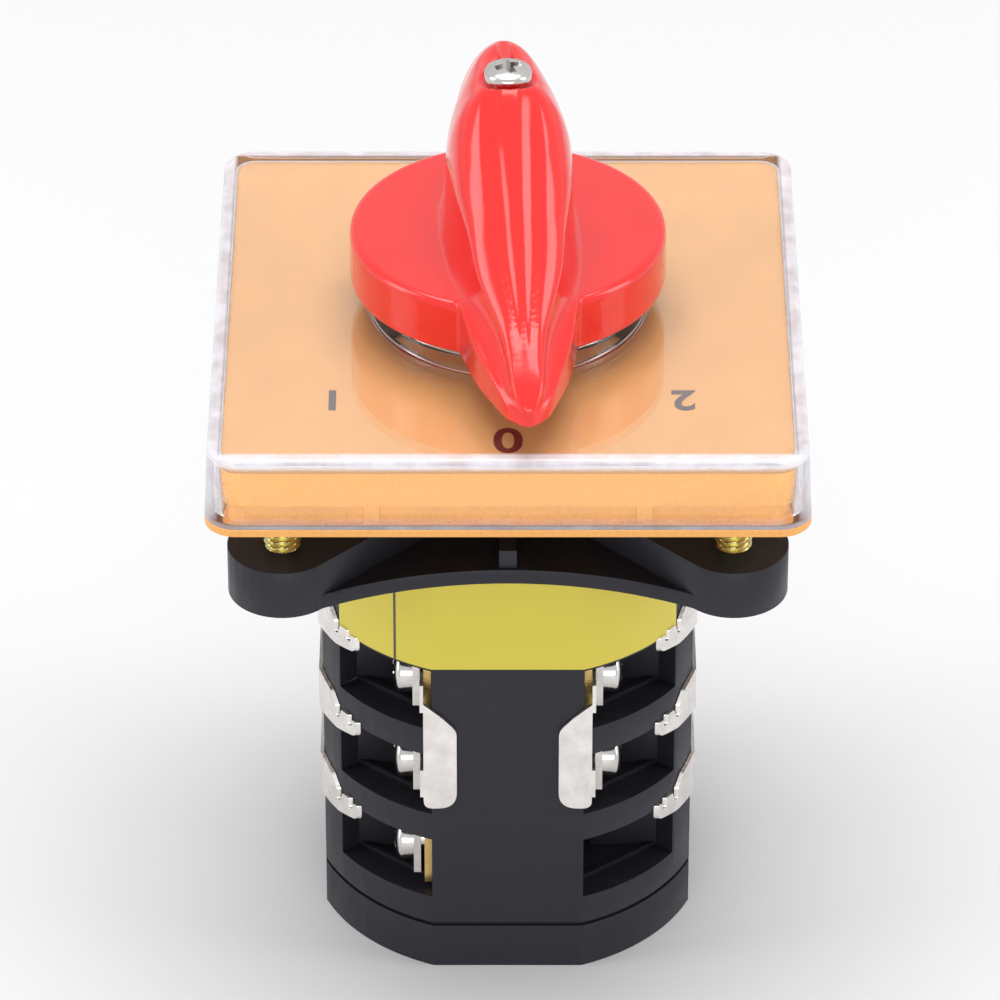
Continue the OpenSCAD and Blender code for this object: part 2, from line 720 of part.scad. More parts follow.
// One half of a section as [x, z], from the foot up to the crest
function flute(x, inner, outer) = x <= inner || x >= outer ? 0 : pow(sin(180 * (x - inner) / (outer - inner)), 2);
function half_section(s) = let (
    foot = grip_half_w * grip_at(s, 1), shoulder = grip_half_w * grip_at(s, 2),
    zs = grip_h * grip_at(s, 3), zc = grip_h * grip_at(s, 4), zf = grip_h * grip_at(s, 5),
    depth = grip_h * grip_at(s, 6))
    concat(
        [for (i = [0 : flank_steps]) let (a = 90 * i / flank_steps)
            [shoulder + (foot - shoulder) * (1 - sin(a)), zf + (zs - zf) * (1 - cos(a))]],
        [for (i = [1 : dome_steps]) let (a = 90 * i / dome_steps, x = shoulder * cos(a))
            [x, zs + (zc - zs) * sin(a) - depth * flute(x, shoulder * crest_share, shoulder)]]);
function grip_section(s, low) = let (
    half = half_section(s), n = len(half), y = -grip_tip * s,
    right = concat([[half[0][0], low]], half),
    left = [for (i = [n - 1 : -1 : 0]) if (i < n) [-right[i][0], right[i][1]]])
    [for (p = concat(right, left)) [p[0], y, p[1]]];

module grip() {
    sections = [for (i = [0 : grip_stations])
        let (s = -grip_rear_share + (1 + grip_rear_share) * i / grip_stations)
            grip_section(s, -disc_h)];
    n = len(sections[0]);
    points = [for (section = sections, p = section) p];
    walls = [for (i = [0 : grip_stations - 1], j = [0 : n - 1], half = [0, 1])
        let (p = i * n + j, q = i * n + (j + 1) % n)
            half == 0 ? [q, p, p + n] : [q + n, q, p + n]];
    caps = concat(
        [for (j = [1 : n - 2]) [0, j, j + 1]],
        [for (j = [1 : n - 2]) [grip_stations * n, grip_stations * n + j + 1, grip_stations * n + j]]);
    polyhedron(points, concat(walls, caps));
}

rim_r = 0.7;
notch_w = 1.4;
notch_d = 0.7;

module handle() color("#e2302a") rotate(handle_skew) difference() {
    union() {
        translate([0, 0, disc_top_z]) grip();
        translate([0, 0, handle_z]) cylinder(r = disc_r, h = disc_h - rim_r);
        translate([0, 0, disc_top_z - rim_r]) rotate_extrude() {
            square([disc_r - rim_r, rim_r]);
            intersection() {
                translate([disc_r - rim_r, 0]) circle(r = rim_r, $fn = 48);
                translate([disc_r - rim_r, 0]) square(rim_r);
            }
        }
        translate([0, 0, legend_z + legend_t + hub_gap]) cylinder(r = hub_r, h = handle_z - legend_z - legend_t);
    }
    translate([0, 0, legend_z]) cylinder(r = shaft_r, h = shaft_top_z - legend_z);
    translate([0, 0, shaft_top_z - cut]) cylinder(r = screw_r, h = grip_h);
    translate([0, 0, recess_z]) cylinder(r = recess_r, h = grip_h);
    translate([-notch_w / 2, 0, disc_top_z + grip_h - notch_d]) cube([notch_w, grip_tip, grip_h]);
}

module handle_screw() color("#d9dadd") difference() {
    cross_w = 0.9;
    cross_share = 0.56;
    union() {
        translate([0, 0, recess_z - screw_length]) cylinder(r = screw_r, h = screw_length);
        translate([0, 0, recess_z]) cylinder(r = head_r, h = head_h);
    }
    for (turned = [0, 90]) rotate(turned + handle_skew)
        translate([-head_r * cross_share, -cross_w / 2, recess_z + head_h / 2])
            cube([2 * head_r * cross_share, cross_w, head_h]);
}

rear_cover();
stage_housing(1);  // stage_housing_1
stage_housing(2);  // stage_housing_2
stage_housing(3);  // stage_housing_3
tie_screws();
detent_plate();
mounting_flange();
detent_springs();
rating_label();
front_frame();
legend_plate();
clear_cover();
panel_screws();
fixed_contacts(1);  // fixed_contacts_1
fixed_contacts(2);  // fixed_contacts_2
fixed_contacts(3);  // fixed_contacts_3
clamp_washers(1);  // clamp_washers_1
clamp_washers(2);  // clamp_washers_2
clamp_washers(3);  // clamp_washers_3
terminal_screws(1);  // terminal_screws_1
terminal_screws(2);  // terminal_screws_2
terminal_screws(3);  // terminal_screws_3
side_clips(1);  // side_clips_1
side_clips(2);  // side_clips_2
side_clips(3);  // side_clips_3
jumper_left();
jumper_right();
shaft();
star_wheel();
cam(1);  // cam_1
cam(2);  // cam_2
cam(3);  // cam_3
handle();
handle_screw();
front_plunger(1);  // front_plunger_1
front_plunger(2);  // front_plunger_2
front_plunger(3);  // front_plunger_3
rear_plunger(1);  // rear_plunger_1
rear_plunger(2);  // rear_plunger_2
rear_plunger(3);  // rear_plunger_3
front_bridge(1);  // front_bridge_1
front_bridge(2);  // front_bridge_2
front_bridge(3);  // front_bridge_3
rear_bridge(1);  // rear_bridge_1
rear_bridge(2);  // rear_bridge_2
rear_bridge(3);  // rear_bridge_3
front_spring(1);  // front_spring_1
front_spring(2);  // front_spring_2
front_spring(3);  // front_spring_3
rear_spring(1);  // rear_spring_1
rear_spring(2);  // rear_spring_2
rear_spring(3);  // rear_spring_3
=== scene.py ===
"""Looks of a rotary cam switch: glossy handle, clear cover, dial, screws and studio."""

import math

import bmesh
import bpy
from mathutils import Matrix, Vector


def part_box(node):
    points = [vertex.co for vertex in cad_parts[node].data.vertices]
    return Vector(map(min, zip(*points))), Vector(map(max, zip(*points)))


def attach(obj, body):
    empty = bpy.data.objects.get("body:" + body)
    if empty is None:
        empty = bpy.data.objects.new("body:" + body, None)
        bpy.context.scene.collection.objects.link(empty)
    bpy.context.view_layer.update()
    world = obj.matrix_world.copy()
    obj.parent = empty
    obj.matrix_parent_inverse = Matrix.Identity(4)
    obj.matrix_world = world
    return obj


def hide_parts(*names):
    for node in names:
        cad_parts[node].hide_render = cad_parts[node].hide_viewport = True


bl_info = {
    "name": "Rotary Cam Switch",
    "version": (1, 0, 0),
    "blender": (4, 5, 0),
    "location": "View3D > Sidebar > Cam Switch",
    "description": "Dresses the cam switch's parts and sets up a plain studio around it",
    "category": "Object",
}

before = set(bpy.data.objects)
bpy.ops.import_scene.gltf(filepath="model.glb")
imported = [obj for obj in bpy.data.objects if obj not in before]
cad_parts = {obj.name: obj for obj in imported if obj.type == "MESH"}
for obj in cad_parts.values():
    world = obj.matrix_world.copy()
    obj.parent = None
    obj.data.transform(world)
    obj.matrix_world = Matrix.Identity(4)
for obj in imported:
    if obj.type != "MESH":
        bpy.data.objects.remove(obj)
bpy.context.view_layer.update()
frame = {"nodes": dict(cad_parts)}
NODES = frame["nodes"]
MM = 0.001
TURN = 2 * math.pi
HOUSING = "housing"
ROTOR = "rotor"
STAGES = (1, 2, 3)
SIDES = (-1, 1)
ENDS = ("front", "rear")


# Settings


def colour(name, text, default):
    """A colour that a user can change."""
    return bpy.props.FloatVectorProperty(
        name=name, description=text, default=default, subtype="COLOR", size=3, min=0, max=1)


def number(name, text, default, **limits):
    """A number that a user can change."""
    return bpy.props.FloatProperty(name=name, description=text, default=default, **limits)


def length(name, text, default_mm):
    """A length that a user can change. Its default is given in millimetres."""
    return number(name, text, default_mm * MM, min=0, unit="LENGTH", precision=5)


class SwitchColours(bpy.types.PropertyGroup):
    """Colours of the plastics, inks and metals"""

    housing: colour("Housing", "Black plastic of the stages and the flange", (0.0125, 0.0125, 0.0175))
    handle: colour("Handle", "Red plastic of the handle", (0.79, 0.0115, 0.008))
    frame: colour("Front frame", "Yellow plastic of the frame", (0.74, 0.35, 0.085))
    legend: colour("Legend plate", "Yellow sheet under the clear cover", (0.53, 0.275, 0.10))
    label: colour("Rating label", "Yellow foil on the detent housing", (0.60, 0.50, 0.05))
    print_ink: colour("Print", "Ink of the dial's numbers", (0.075, 0.06, 0.055))
    middle_ink: colour("Middle print", "Ink of the middle number", (0.10, 0.012, 0.010))
    nickel: colour("Nickel", "Plating of links, clips, washers and small screws", (0.78, 0.75, 0.72))
    zinc: colour("Yellow zinc", "Plating of the fixing screws", (0.62, 0.56, 0.24))
    brass: colour("Brass", "Contact plates", (0.72, 0.50, 0.19))
    steel: colour("Steel", "Shaft and springs", (0.56, 0.56, 0.58))
    ivory: colour("Cams", "Pale plastic of cams, plungers and star wheel", (0.78, 0.74, 0.62))


class SwitchSizes(bpy.types.PropertyGroup):
    """Sizes of the pieces that this script makes"""

    edge_round: length("Edge rounding", "Rounding of moulded edges", 0.22)
    metal_round: length("Metal edge rounding", "Rounding of cut metal edges", 0.08)
    cover_wall: length("Cover wall", "Wall thickness of the clear cover", 1.3)
    cover_draft: length("Cover draft", "How much each side of the cover leans inwards", 0.4)
    cover_corner: length("Cover corner", "Corner radius of the cover", 3.4)
    collar_r: length("Collar radius", "Outer radius of the cover's collar", 14.9)
    collar_h: length("Collar height", "Height of the cover's collar", 2)
    disc_r: length("Disc radius", "Radius of the handle's disc", 17)
    disc_h: length("Disc height", "Height of the handle's disc", 6.1)
    grip_h: length("Grip height", "Height of the grip above the disc", 19.1)
    grip_tip: length("Grip reach", "Distance from the axis to the grip's tip", 30.7)
    grip_half_w: length("Grip half width", "Half width of the grip at its foot", 7.45)
    hub_drop: length("Hub drop", "From the disc's top down to the hub's end", 10.15)
    voxel: length("Handle voxel", "Grid on which the handle's forms melt together", 0.2)
    number_h: length("Number height", "Height of the side numbers on the dial", 3.7)
    number_ring: length("Number ring", "Distance of the numbers from the axis", 26.3)


class StudioSettings(bpy.types.PropertyGroup):
    """The camera's place, the floor and the world's light"""

    elevation: number("Camera elevation", "Angle of the view above the horizon",
                      math.radians(33.783), subtype="ANGLE", unit="ROTATION")
    distance: length("Camera distance", "From the aimed point to the camera", 769.17)
    lens: number("Lens", "Focal length in millimetres on a 36 mm sensor", 251.384, min=20)
    aim_x: number("Aim X", "The aimed point's place to the right", -0.849 * MM, unit="LENGTH")
    aim_z: number("Aim height", "The aimed point's height", 48.803 * MM, unit="LENGTH")
    floor: colour("Floor", "Pale studio floor", (0.80, 0.80, 0.81))
    ambient: number("Ambient", "Strength of the world's light on the object", 0.55, min=0)


def colours():
    """The colour settings."""
    return bpy.context.scene.switch_colours


def sizes():
    """The size settings."""
    return bpy.context.scene.switch_sizes


def studio():
    """The studio's settings."""
    return bpy.context.scene.switch_studio


# Materials


def new_tree(name):
    """A new material and its empty node tree."""
    material = bpy.data.materials.new(name)
    material.use_nodes = True
    tree = material.node_tree
    tree.nodes.clear()
    return material, tree


def shader_node(tree, roughness, metallic=0.0, ior=1.5):
    """A Principled shader wired to the output."""
    output = tree.nodes.new("ShaderNodeOutputMaterial")
    shader = tree.nodes.new("ShaderNodeBsdfPrincipled")
    shader.inputs["Roughness"].default_value = roughness
    shader.inputs["Metallic"].default_value = metallic
    shader.inputs["IOR"].default_value = ior
    tree.links.new(shader.outputs["BSDF"], output.inputs["Surface"])
    return shader


def grain(tree, cell, detail=4.0, stretch=(1, 1, 1)):
    """Noise over the object's own coordinates. cell is the size of a grain, in metres."""
    place = tree.nodes.new("ShaderNodeTexCoord")
    mapping = tree.nodes.new("ShaderNodeMapping")
    mapping.inputs["Scale"].default_value = [s / cell for s in stretch]
    noise = tree.nodes.new("ShaderNodeTexNoise")
    noise.inputs["Scale"].default_value = 1
    noise.inputs["Detail"].default_value = detail
    tree.links.new(place.outputs["Object"], mapping.inputs["Vector"])
    tree.links.new(mapping.outputs["Vector"], noise.inputs["Vector"])
    return noise.outputs["Fac"]


def spread(tree, value, low, high, start=0.3, end=0.7):
    """value, from start to end, as a number from low to high."""
    ramp = tree.nodes.new("ShaderNodeMapRange")
    for name, limit in (("From Min", start), ("From Max", end), ("To Min", low), ("To Max", high)):
        ramp.inputs[name].default_value = limit
    tree.links.new(value, ramp.inputs["Value"])
    return ramp.outputs["Result"]


def bump(tree, shader, value, height, strength=1.0):
    """Raises the surface by value times height."""
    node = tree.nodes.new("ShaderNodeBump")
    node.inputs["Distance"].default_value = height
    node.inputs["Strength"].default_value = strength
    tree.links.new(value, node.inputs["Height"])
    tree.links.new(node.outputs["Normal"], shader.inputs["Normal"])


def shaded(base, amount):
    """The base colour, darker below 1 and lighter above."""
    return tuple(min(1.0, c * amount) for c in base)


def clouded(tree, base, cell, detail, dark, pale):
    """The base colour in soft clouds between a darker and a paler shade."""
    mix = tree.nodes.new("ShaderNodeMix")
    mix.data_type = "RGBA"
    mix.inputs["A"].default_value = (*shaded(base, dark), 1)
    mix.inputs["B"].default_value = (*shaded(base, pale), 1)
    tree.links.new(spread(tree, grain(tree, cell, detail), 0, 1), mix.inputs["Factor"])
    return mix.outputs["Result"]


def edge_highlight_mask(tree):
    """Mask of the painted edge highlight: from 0 on flat stretches to 1 on outer edges."""
    flat, edge = 0.5, 0.56
    geometry = tree.nodes.new("ShaderNodeNewGeometry")
    return spread(tree, geometry.outputs["Pointiness"], 0, 1, flat, edge)


def moulded(name, base, roughness, cell=0.35 * MM, height=0.012 * MM, edge_highlight=1.25, gloss=0.5):
    """Moulded plastic: faint flow marks, a fine grain, and a painted highlight that makes outer edges a
    little paler.
    """
    material, tree = new_tree(name)
    shader = shader_node(tree, roughness)
    # Painted highlight: outer edges are mixed towards a paler shade of the base colour.
    mix = tree.nodes.new("ShaderNodeMix")
    mix.data_type = "RGBA"
    mix.inputs["B"].default_value = (*shaded(base, edge_highlight), 1)
    tree.links.new(clouded(tree, base, 6 * MM, 3, 0.93, 1.06), mix.inputs["A"])
    tree.links.new(edge_highlight_mask(tree), mix.inputs["Factor"])
    tree.links.new(mix.outputs["Result"], shader.inputs["Base Color"])
    fine = grain(tree, cell, 3)
    tree.links.new(spread(tree, fine, roughness * 0.88, roughness * 1.12), shader.inputs["Roughness"])
    bump(tree, shader, fine, height)
    shader.inputs["Specular IOR Level"].default_value = gloss
    return material


def plated(name, base, roughness, stretch=(1, 1, 1), cell=0.12 * MM, height=0.004 * MM):
    """Plated or rolled metal: a fine drawn grain and softly uneven gloss."""
    material, tree = new_tree(name)
    shader = shader_node(tree, roughness, metallic=1.0)
    tree.links.new(clouded(tree, base, 2.2 * MM, 4, 0.86, 1.08), shader.inputs["Base Color"])
    fine = grain(tree, cell, 4, stretch)
    tree.links.new(spread(tree, fine, roughness * 0.7, roughness * 1.35), shader.inputs["Roughness"])
    bump(tree, shader, fine, height)
    return material


def maths(tree, operation, first, second=None):
    """One step of reckoning with one or two inputs."""
    node = tree.nodes.new("ShaderNodeMath")
    node.operation = operation
    tree.links.new(first, node.inputs[0])
    if second is not None:
        tree.links.new(second, node.inputs[1])
    return node.outputs[0]


def painted_glow_mask(tree):
    """Where the painted glow goes: up to 1 on the cover's rim, on its side walls and along its lower
    edge, 0 elsewhere.
    """
    low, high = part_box("clear_cover")
    top = high.z - sizes().collar_h
    wall_fade = (30.0 * MM, 30.5 * MM)
    rim_fade = (top - 1.3 * MM, top - 0.9 * MM)
    foot_fade = (low.z + 0.5 * MM, low.z + 0.9 * MM)
    side_most, foot_most = 0.75, 0.45
    place = tree.nodes.new("ShaderNodeTexCoord")
    parts = tree.nodes.new("ShaderNodeSeparateXYZ")
    tree.links.new(place.outputs["Object"], parts.inputs[0])
    reach = [maths(tree, "ABSOLUTE", parts.outputs[axis]) for axis in ("X", "Y")]
    ring = spread(tree, maths(tree, "MAXIMUM", *reach), 0, 1, *wall_fade)
    geometry = tree.nodes.new("ShaderNodeNewGeometry")
    normal = tree.nodes.new("ShaderNodeSeparateXYZ")
    tree.links.new(geometry.outputs["Normal"], normal.inputs[0])
    level = parts.outputs["Z"]
    rim = maths(tree, "MULTIPLY", ring, spread(tree, level, 0, 1, *rim_fade))
    sideways = maths(tree, "ABSOLUTE", normal.outputs["X"])
    side = maths(tree, "MULTIPLY", ring, spread(tree, sideways, 0, side_most, 0.55, 0.9))
    foot = maths(tree, "MULTIPLY", ring, spread(tree, level, foot_most, 0, *foot_fade))
    return maths(tree, "MAXIMUM", maths(tree, "MAXIMUM", rim, side), foot)


def clear_plastic():
    """Polished clear plastic that lets the lamps through, with a whitish glow painted on its rim, side
    walls and lower edge, standing in for light refracted in the walls.
    """
    material, tree = new_tree("clear_moulded")
    polished = shader_node(tree, 0.015, ior=1.49)
    polished.inputs["Transmission Weight"].default_value = 1.0
    polished.inputs["Base Color"].default_value = (0.985, 0.985, 0.99, 1)
    bump(tree, polished, grain(tree, 9 * MM, 2), 0.01 * MM, 0.4)
    output = next(n for n in tree.nodes if n.type == "OUTPUT_MATERIAL")

    # Painted glow: a whitish, cloudy skin mixed in on the rim, the side walls and the lower edge,
    # standing in for light refracted in the walls.
    painted_glow = tree.nodes.new("ShaderNodeBsdfPrincipled")
    painted_glow.inputs["Base Color"].default_value = (0.80, 0.80, 0.86, 1)
    painted_glow.inputs["Roughness"].default_value = 0.25
    painted_glow.inputs["Subsurface Weight"].default_value = 0.3
    painted_glow.inputs["Subsurface Scale"].default_value = 1 * MM
    cloud = spread(tree, grain(tree, 3 * MM, 3), 0.62, 0.88, 0.35, 0.65)
    amount = maths(tree, "MULTIPLY", painted_glow_mask(tree), cloud)
    wall = tree.nodes.new("ShaderNodeMixShader")
    tree.links.new(amount, wall.inputs[0])
    tree.links.new(polished.outputs["BSDF"], wall.inputs[1])
    tree.links.new(painted_glow.outputs["BSDF"], wall.inputs[2])

    passing = tree.nodes.new("ShaderNodeBsdfTransparent")
    passing.inputs["Color"].default_value = (0.94, 0.94, 0.95, 1)
    path = tree.nodes.new("ShaderNodeLightPath")
    mix = tree.nodes.new("ShaderNodeMixShader")
    tree.links.new(path.outputs["Is Shadow Ray"], mix.inputs[0])
    tree.links.new(wall.outputs["Shader"], mix.inputs[1])
    tree.links.new(passing.outputs["BSDF"], mix.inputs[2])
    tree.links.new(mix.outputs["Shader"], output.inputs["Surface"])
    return material


def red_plastic():
    """Glossy through-dyed plastic with a faint orange-peel skin."""
    material, tree = new_tree("red_gloss")
    shader = shader_node(tree, 0.16, ior=1.52)
    tint = clouded(tree, colours().handle, 8 * MM, 2, 0.97, 1.03)
    tree.links.new(tint, shader.inputs["Base Color"])
    shader.inputs["Subsurface Weight"].default_value = 0.12
    shader.inputs["Subsurface Radius"].default_value = (1.0, 0.15, 0.1)
    shader.inputs["Subsurface Scale"].default_value = 1.0 * MM
    shader.inputs["Coat Weight"].default_value = 0.35
    shader.inputs["Coat Roughness"].default_value = 0.05
    bump(tree, shader, grain(tree, 1.6 * MM, 2), 0.004 * MM, 0.5)
    return material


MATERIALS = {}


def finish_of(kind):
    """The material of one kind, made on first use."""
    if kind in MATERIALS:
        return MATERIALS[kind]
    c = colours()
    screw_nickel = shaded(c.nickel, 0.8)
    smear = 0.002 * MM
    # Moulded finishes paint their outer edges paler by their edge factor: a painted highlight.
    makers = {
        "housing": lambda: moulded("black_moulded", c.housing, 0.42, edge_highlight=1.5, gloss=0.27),
        # Near-black marks on the front post: painted shade of its small slots.
        "dark": lambda: moulded("painted_slot_shade", shaded(c.housing, 0.25), 0.6),
        "handle": red_plastic,
        "clear": clear_plastic,
        "frame": lambda: moulded("yellow_moulded", c.frame, 0.28, height=0.006 * MM, edge_highlight=1.1),
        "legend": lambda: moulded("yellow_sheet", c.legend, 0.38, height=0.003 * MM, edge_highlight=1.0),
        "label": lambda: moulded("yellow_foil", c.label, 0.36, 0.8 * MM, 0.004 * MM, edge_highlight=1.0),
        "print": lambda: moulded("dial_print", c.print_ink, 0.5, height=smear, edge_highlight=1.0),
        "middle_print": lambda: moulded("middle_print", c.middle_ink, 0.5, height=smear, edge_highlight=1.0),
        "ivory": lambda: moulded("ivory_moulded", c.ivory, 0.4, edge_highlight=1.05),
        "link": lambda: plated("link_plate", c.nickel, 0.34, (1, 1, 0.15), 0.3 * MM, smear),
        "clip": lambda: plated("clip_plate", c.nickel, 0.3, (1, 0.2, 1), 0.3 * MM, smear),
        "nickel": lambda: plated("nickel_plate", screw_nickel, 0.24, (1, 1, 0.12)),
        "bright": lambda: plated("bright_screw", screw_nickel, 0.16, cell=0.3 * MM, height=smear),
        "zinc": lambda: plated("yellow_zinc", c.zinc, 0.26, cell=0.2 * MM),
        "brass": lambda: plated("rolled_brass", c.brass, 0.28, (1, 0.15, 1)),
        "steel": lambda: plated("turned_steel", c.steel, 0.25, (1, 1, 0.1)),
    }
    MATERIALS[kind] = makers[kind]()
    return MATERIALS[kind]


# Meshes


def in_scene(name, data):
    """A new object in the scene, with the data given."""
    obj = bpy.data.objects.new(name, data)
    bpy.context.scene.collection.objects.link(obj)
    return obj


def new_object(name, verts, faces):
    """An object in the scene, made from points and faces."""
    mesh = bpy.data.meshes.new(name)
    mesh.from_pydata([tuple(v) for v in verts], [], faces)
    mesh.validate()
    return in_scene(name, mesh)


def smooth(obj, angle=35):
    """Shades smooth, with edges sharper than angle left crisp."""
    for polygon in obj.data.polygons:
        polygon.use_smooth = True
    obj.data.set_sharp_from_angle(angle=math.radians(angle))


def mend(obj):
    """Merges doubled points and turns the faces outwards."""
    mesh = bmesh.new()
    mesh.from_mesh(obj.data)
    bmesh.ops.remove_doubles(mesh, verts=mesh.verts, dist=1e-7)
    bmesh.ops.recalc_face_normals(mesh, faces=mesh.faces)
    mesh.to_mesh(obj.data)
    mesh.free()


def apply_modifiers(obj):
    """Replaces the mesh by what its modifiers make of it."""
    graph = bpy.context.evaluated_depsgraph_get()
    graph.update()
    made = bpy.data.meshes.new_from_object(obj.evaluated_get(graph), depsgraph=graph)
    obj.modifiers.clear()
    obj.data = made


def combine(obj, other, operation):
    """Joins other to obj, or cuts it out of obj, and removes other."""
    modifier = obj.modifiers.new("combine", "BOOLEAN")
    modifier.operation = operation
    modifier.solver = "EXACT"
    modifier.object = other
    apply_modifiers(obj)
    bpy.data.objects.remove(other)
    if not obj.data.vertices:
        raise RuntimeError(f"{obj.name} came out empty")


def joined(name, parts):
    """One object that holds copies of all the parts' faces."""
    verts = []
    faces = []
    for part in parts:
        start = len(verts)
        verts += [part.matrix_world @ v.co for v in part.data.vertices]
        faces += [[start + i for i in p.vertices] for p in part.data.polygons]
        bpy.data.objects.remove(part)
    return new_object(name, verts, faces)


def lathe(name, profile, steps=96):
    """Turns (radius, z) points about Z. A point at radius zero closes the end."""
    angles = [TURN * i / steps for i in range(steps)]
    verts = []
    rings = []
    for r, z in profile:
        start = len(verts)
        if r < 1e-9:
            verts.append((0, 0, z))
        else:
            verts += [(r * math.cos(a), r * math.sin(a), z) for a in angles]
        rings.append(range(start, len(verts)))
    faces = []
    for low, high in zip(rings, rings[1:]):
        for i in range(steps):
            j = (i + 1) % steps
            if len(low) == 1 and len(high) > 1:
                faces.append((low[0], high[j], high[i]))
            elif len(high) == 1 and len(low) > 1:
                faces.append((low[i], low[j], high[0]))
            elif len(low) > 1:
                faces.append((low[i], low[j], high[j], high[i]))
    return new_object(name, verts, faces)


def band_faces(count, rows, around=False):
    """Faces between rows of count points each, and back to the first row if it goes around."""
    faces = []
    for k in range(rows if around else rows - 1):
        a, b = k * count, (k + 1) % rows * count
        for i in range(count):
            j = (i + 1) % count
            faces.append((a + i, a + j, b + j, b + i))
    return faces


def block(name, low, high):
    """A box between two opposite corners."""
    (x0, y0, z0), (x1, y1, z1) = low, high
    verts = [(x, y, z) for z in (z0, z1) for y in (y0, y1) for x in (x0, x1)]
    faces = [(0, 2, 3, 1), (4, 5, 7, 6), (0, 1, 5, 4), (2, 6, 7, 3), (0, 4, 6, 2), (1, 3, 7, 5)]
    return new_object(name, verts, faces)


def prism(name, outline, low, high, along="z"):
    """Extrudes an outline of two coordinates from low to high along the third."""
    count = len(outline)
    place = {"x": lambda u, v, w: (w, u, v), "y": lambda u, v, w: (u, w, v), "z": lambda *p: p}[along]
    verts = [place(u, v, w) for w in (low, high) for u, v in outline]
    faces = [tuple(reversed(range(count))), tuple(range(count, 2 * count))]
    faces += [(i, (i + 1) % count, count + (i + 1) % count, count + i) for i in range(count)]
    solid = new_object(name, verts, faces)
    mend(solid)
    return solid


def rounded(outline, steps=6):
    """An outline of (u, v, radius) corners as points, each corner rounded by its radius."""
    points = []
    count = len(outline)
    for i, (u, v, radius) in enumerate(outline):
        corner = Vector((u, v))
        if radius <= 0:
            points.append(tuple(corner))
            continue
        before = (Vector(outline[i - 1][:2]) - corner).normalized()
        after = (Vector(outline[(i + 1) % count][:2]) - corner).normalized()
        cut_back = radius / math.tan(before.angle(after) / 2)
        start, end = corner + before * cut_back, corner + after * cut_back
        for k in range(steps + 1):
            t = k / steps
            points.append(tuple(start * (1 - t) ** 2 + corner * 2 * t * (1 - t) + end * t * t))
    return points


def arc(centre_r, centre_z, radius, start, end, steps=6):
    """Points of an arc in a lathe's profile, angles in degrees."""
    angles = [math.radians(start + (end - start) * i / steps) for i in range(steps + 1)]
    return [(centre_r + radius * math.cos(a), centre_z + radius * math.sin(a)) for a in angles]


def place_piece(obj, body, kind, slot, *nodes):
    """Gives a made piece its material and its body, and hides the nodes that it stands for. slot is not
    used.
    """
    obj.data.materials.clear()
    obj.data.materials.append(finish_of(kind))
    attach(obj, body)
    if nodes:
        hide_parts(*nodes)


def bevelled(obj, width, segments=2, angle=40):
    """Rounds the edges that turn by more than angle, and returns the modifier."""
    modifier = obj.modifiers.new("rounding", "BEVEL")
    modifier.width = width
    modifier.segments = segments
    modifier.limit_method = "ANGLE"
    modifier.angle_limit = math.radians(angle)
    modifier.harden_normals = True
    return modifier


def dress(node, kind, width=None):
    """Keeps a CAD node, rounds its edges by width and gives it a finish."""
    obj = NODES[node]
    obj.data.materials.clear()
    obj.data.materials.append(finish_of(kind))
    if width is None:
        width = sizes().edge_round
    if width > 0:
        weld = obj.modifiers.new("weld", "WELD")
        weld.merge_threshold = 1e-6
        rounding = bevelled(obj, width, angle=30)
        rounding.miter_outer = "MITER_ARC"
        rounding.use_clamp_overlap = True
    return obj


# Handle


# Sections of the grip, from its rear end to its tip. Each row holds the place as a share of the
# reach, the foot and the shoulder as shares of the half width, and then the heights of shoulder,
# crest and foot and the flutes' depth as shares of the grip's height.
GRIP_REAR_SHARE = 0.5
GRIP_SHARES = (
    (-0.500, 0.22, 0.14, 0.02, 0.05, 0.00, 0),
    (-0.440, 0.52, 0.42, 0.13, 0.41, 0.00, 0),
    (-0.330, 0.78, 0.69, 0.26, 0.83, 0.00, 0),
    (-0.200, 0.91, 0.72, 0.33, 1.00, 0.00, 0),
    (-0.100, 0.985, 0.845, 0.37, 1.00, 0.00, 0),
    (0.000, 1.00, 0.895, 0.41, 1.00, 0.00, 0),
    (0.100, 1.01, 0.895, 0.46, 0.985, 0.00, 0.012),
    (0.260, 0.98, 0.835, 0.445, 0.765, 0.00, 0.027),
    (0.420, 0.93, 0.70, 0.345, 0.54, 0.00, 0.034),
    (0.540, 0.83, 0.615, 0.22, 0.365, 0.00, 0.032),
    (0.720, 0.67, 0.36, 0.065, 0.13, -0.085, 0.018),
    (0.840, 0.49, 0.26, -0.03, 0.00, -0.145, 0.004),
    (0.940, 0.315, 0.21, -0.12, -0.11, -0.21, 0),
    (0.985, 0.15, 0.12, -0.185, -0.175, -0.25, 0),
    (1.000, 0.06, 0.05, -0.215, -0.21, -0.27, 0),
)
# Between these shares of the shoulder a flute runs beside the crest
CREST_SHARE = 0.08
FLUTE_SHARE = 0.56
RECESS_DEPTH = 1.4 * MM


def grip_value(s, column):
    """Smooth curve through one column of the grip's table."""
    rows = GRIP_SHARES
    i = max(k for k in range(len(rows) - 1) if k == 0 or rows[k][0] <= s)

    def slope(k):
        a, b = rows[max(k - 1, 0)], rows[min(k + 1, len(rows) - 1)]
        return (b[column] - a[column]) / (b[0] - a[0])

    p, q = rows[i], rows[i + 1]
    w = q[0] - p[0]
    t = (s - p[0]) / w
    smooth_part = p[column] * (1 + 2 * t) * (1 - t) ** 2 + q[column] * t * t * (3 - 2 * t)
    return smooth_part + w * t * (1 - t) * ((1 - t) * slope(i) - t * slope(i + 1))


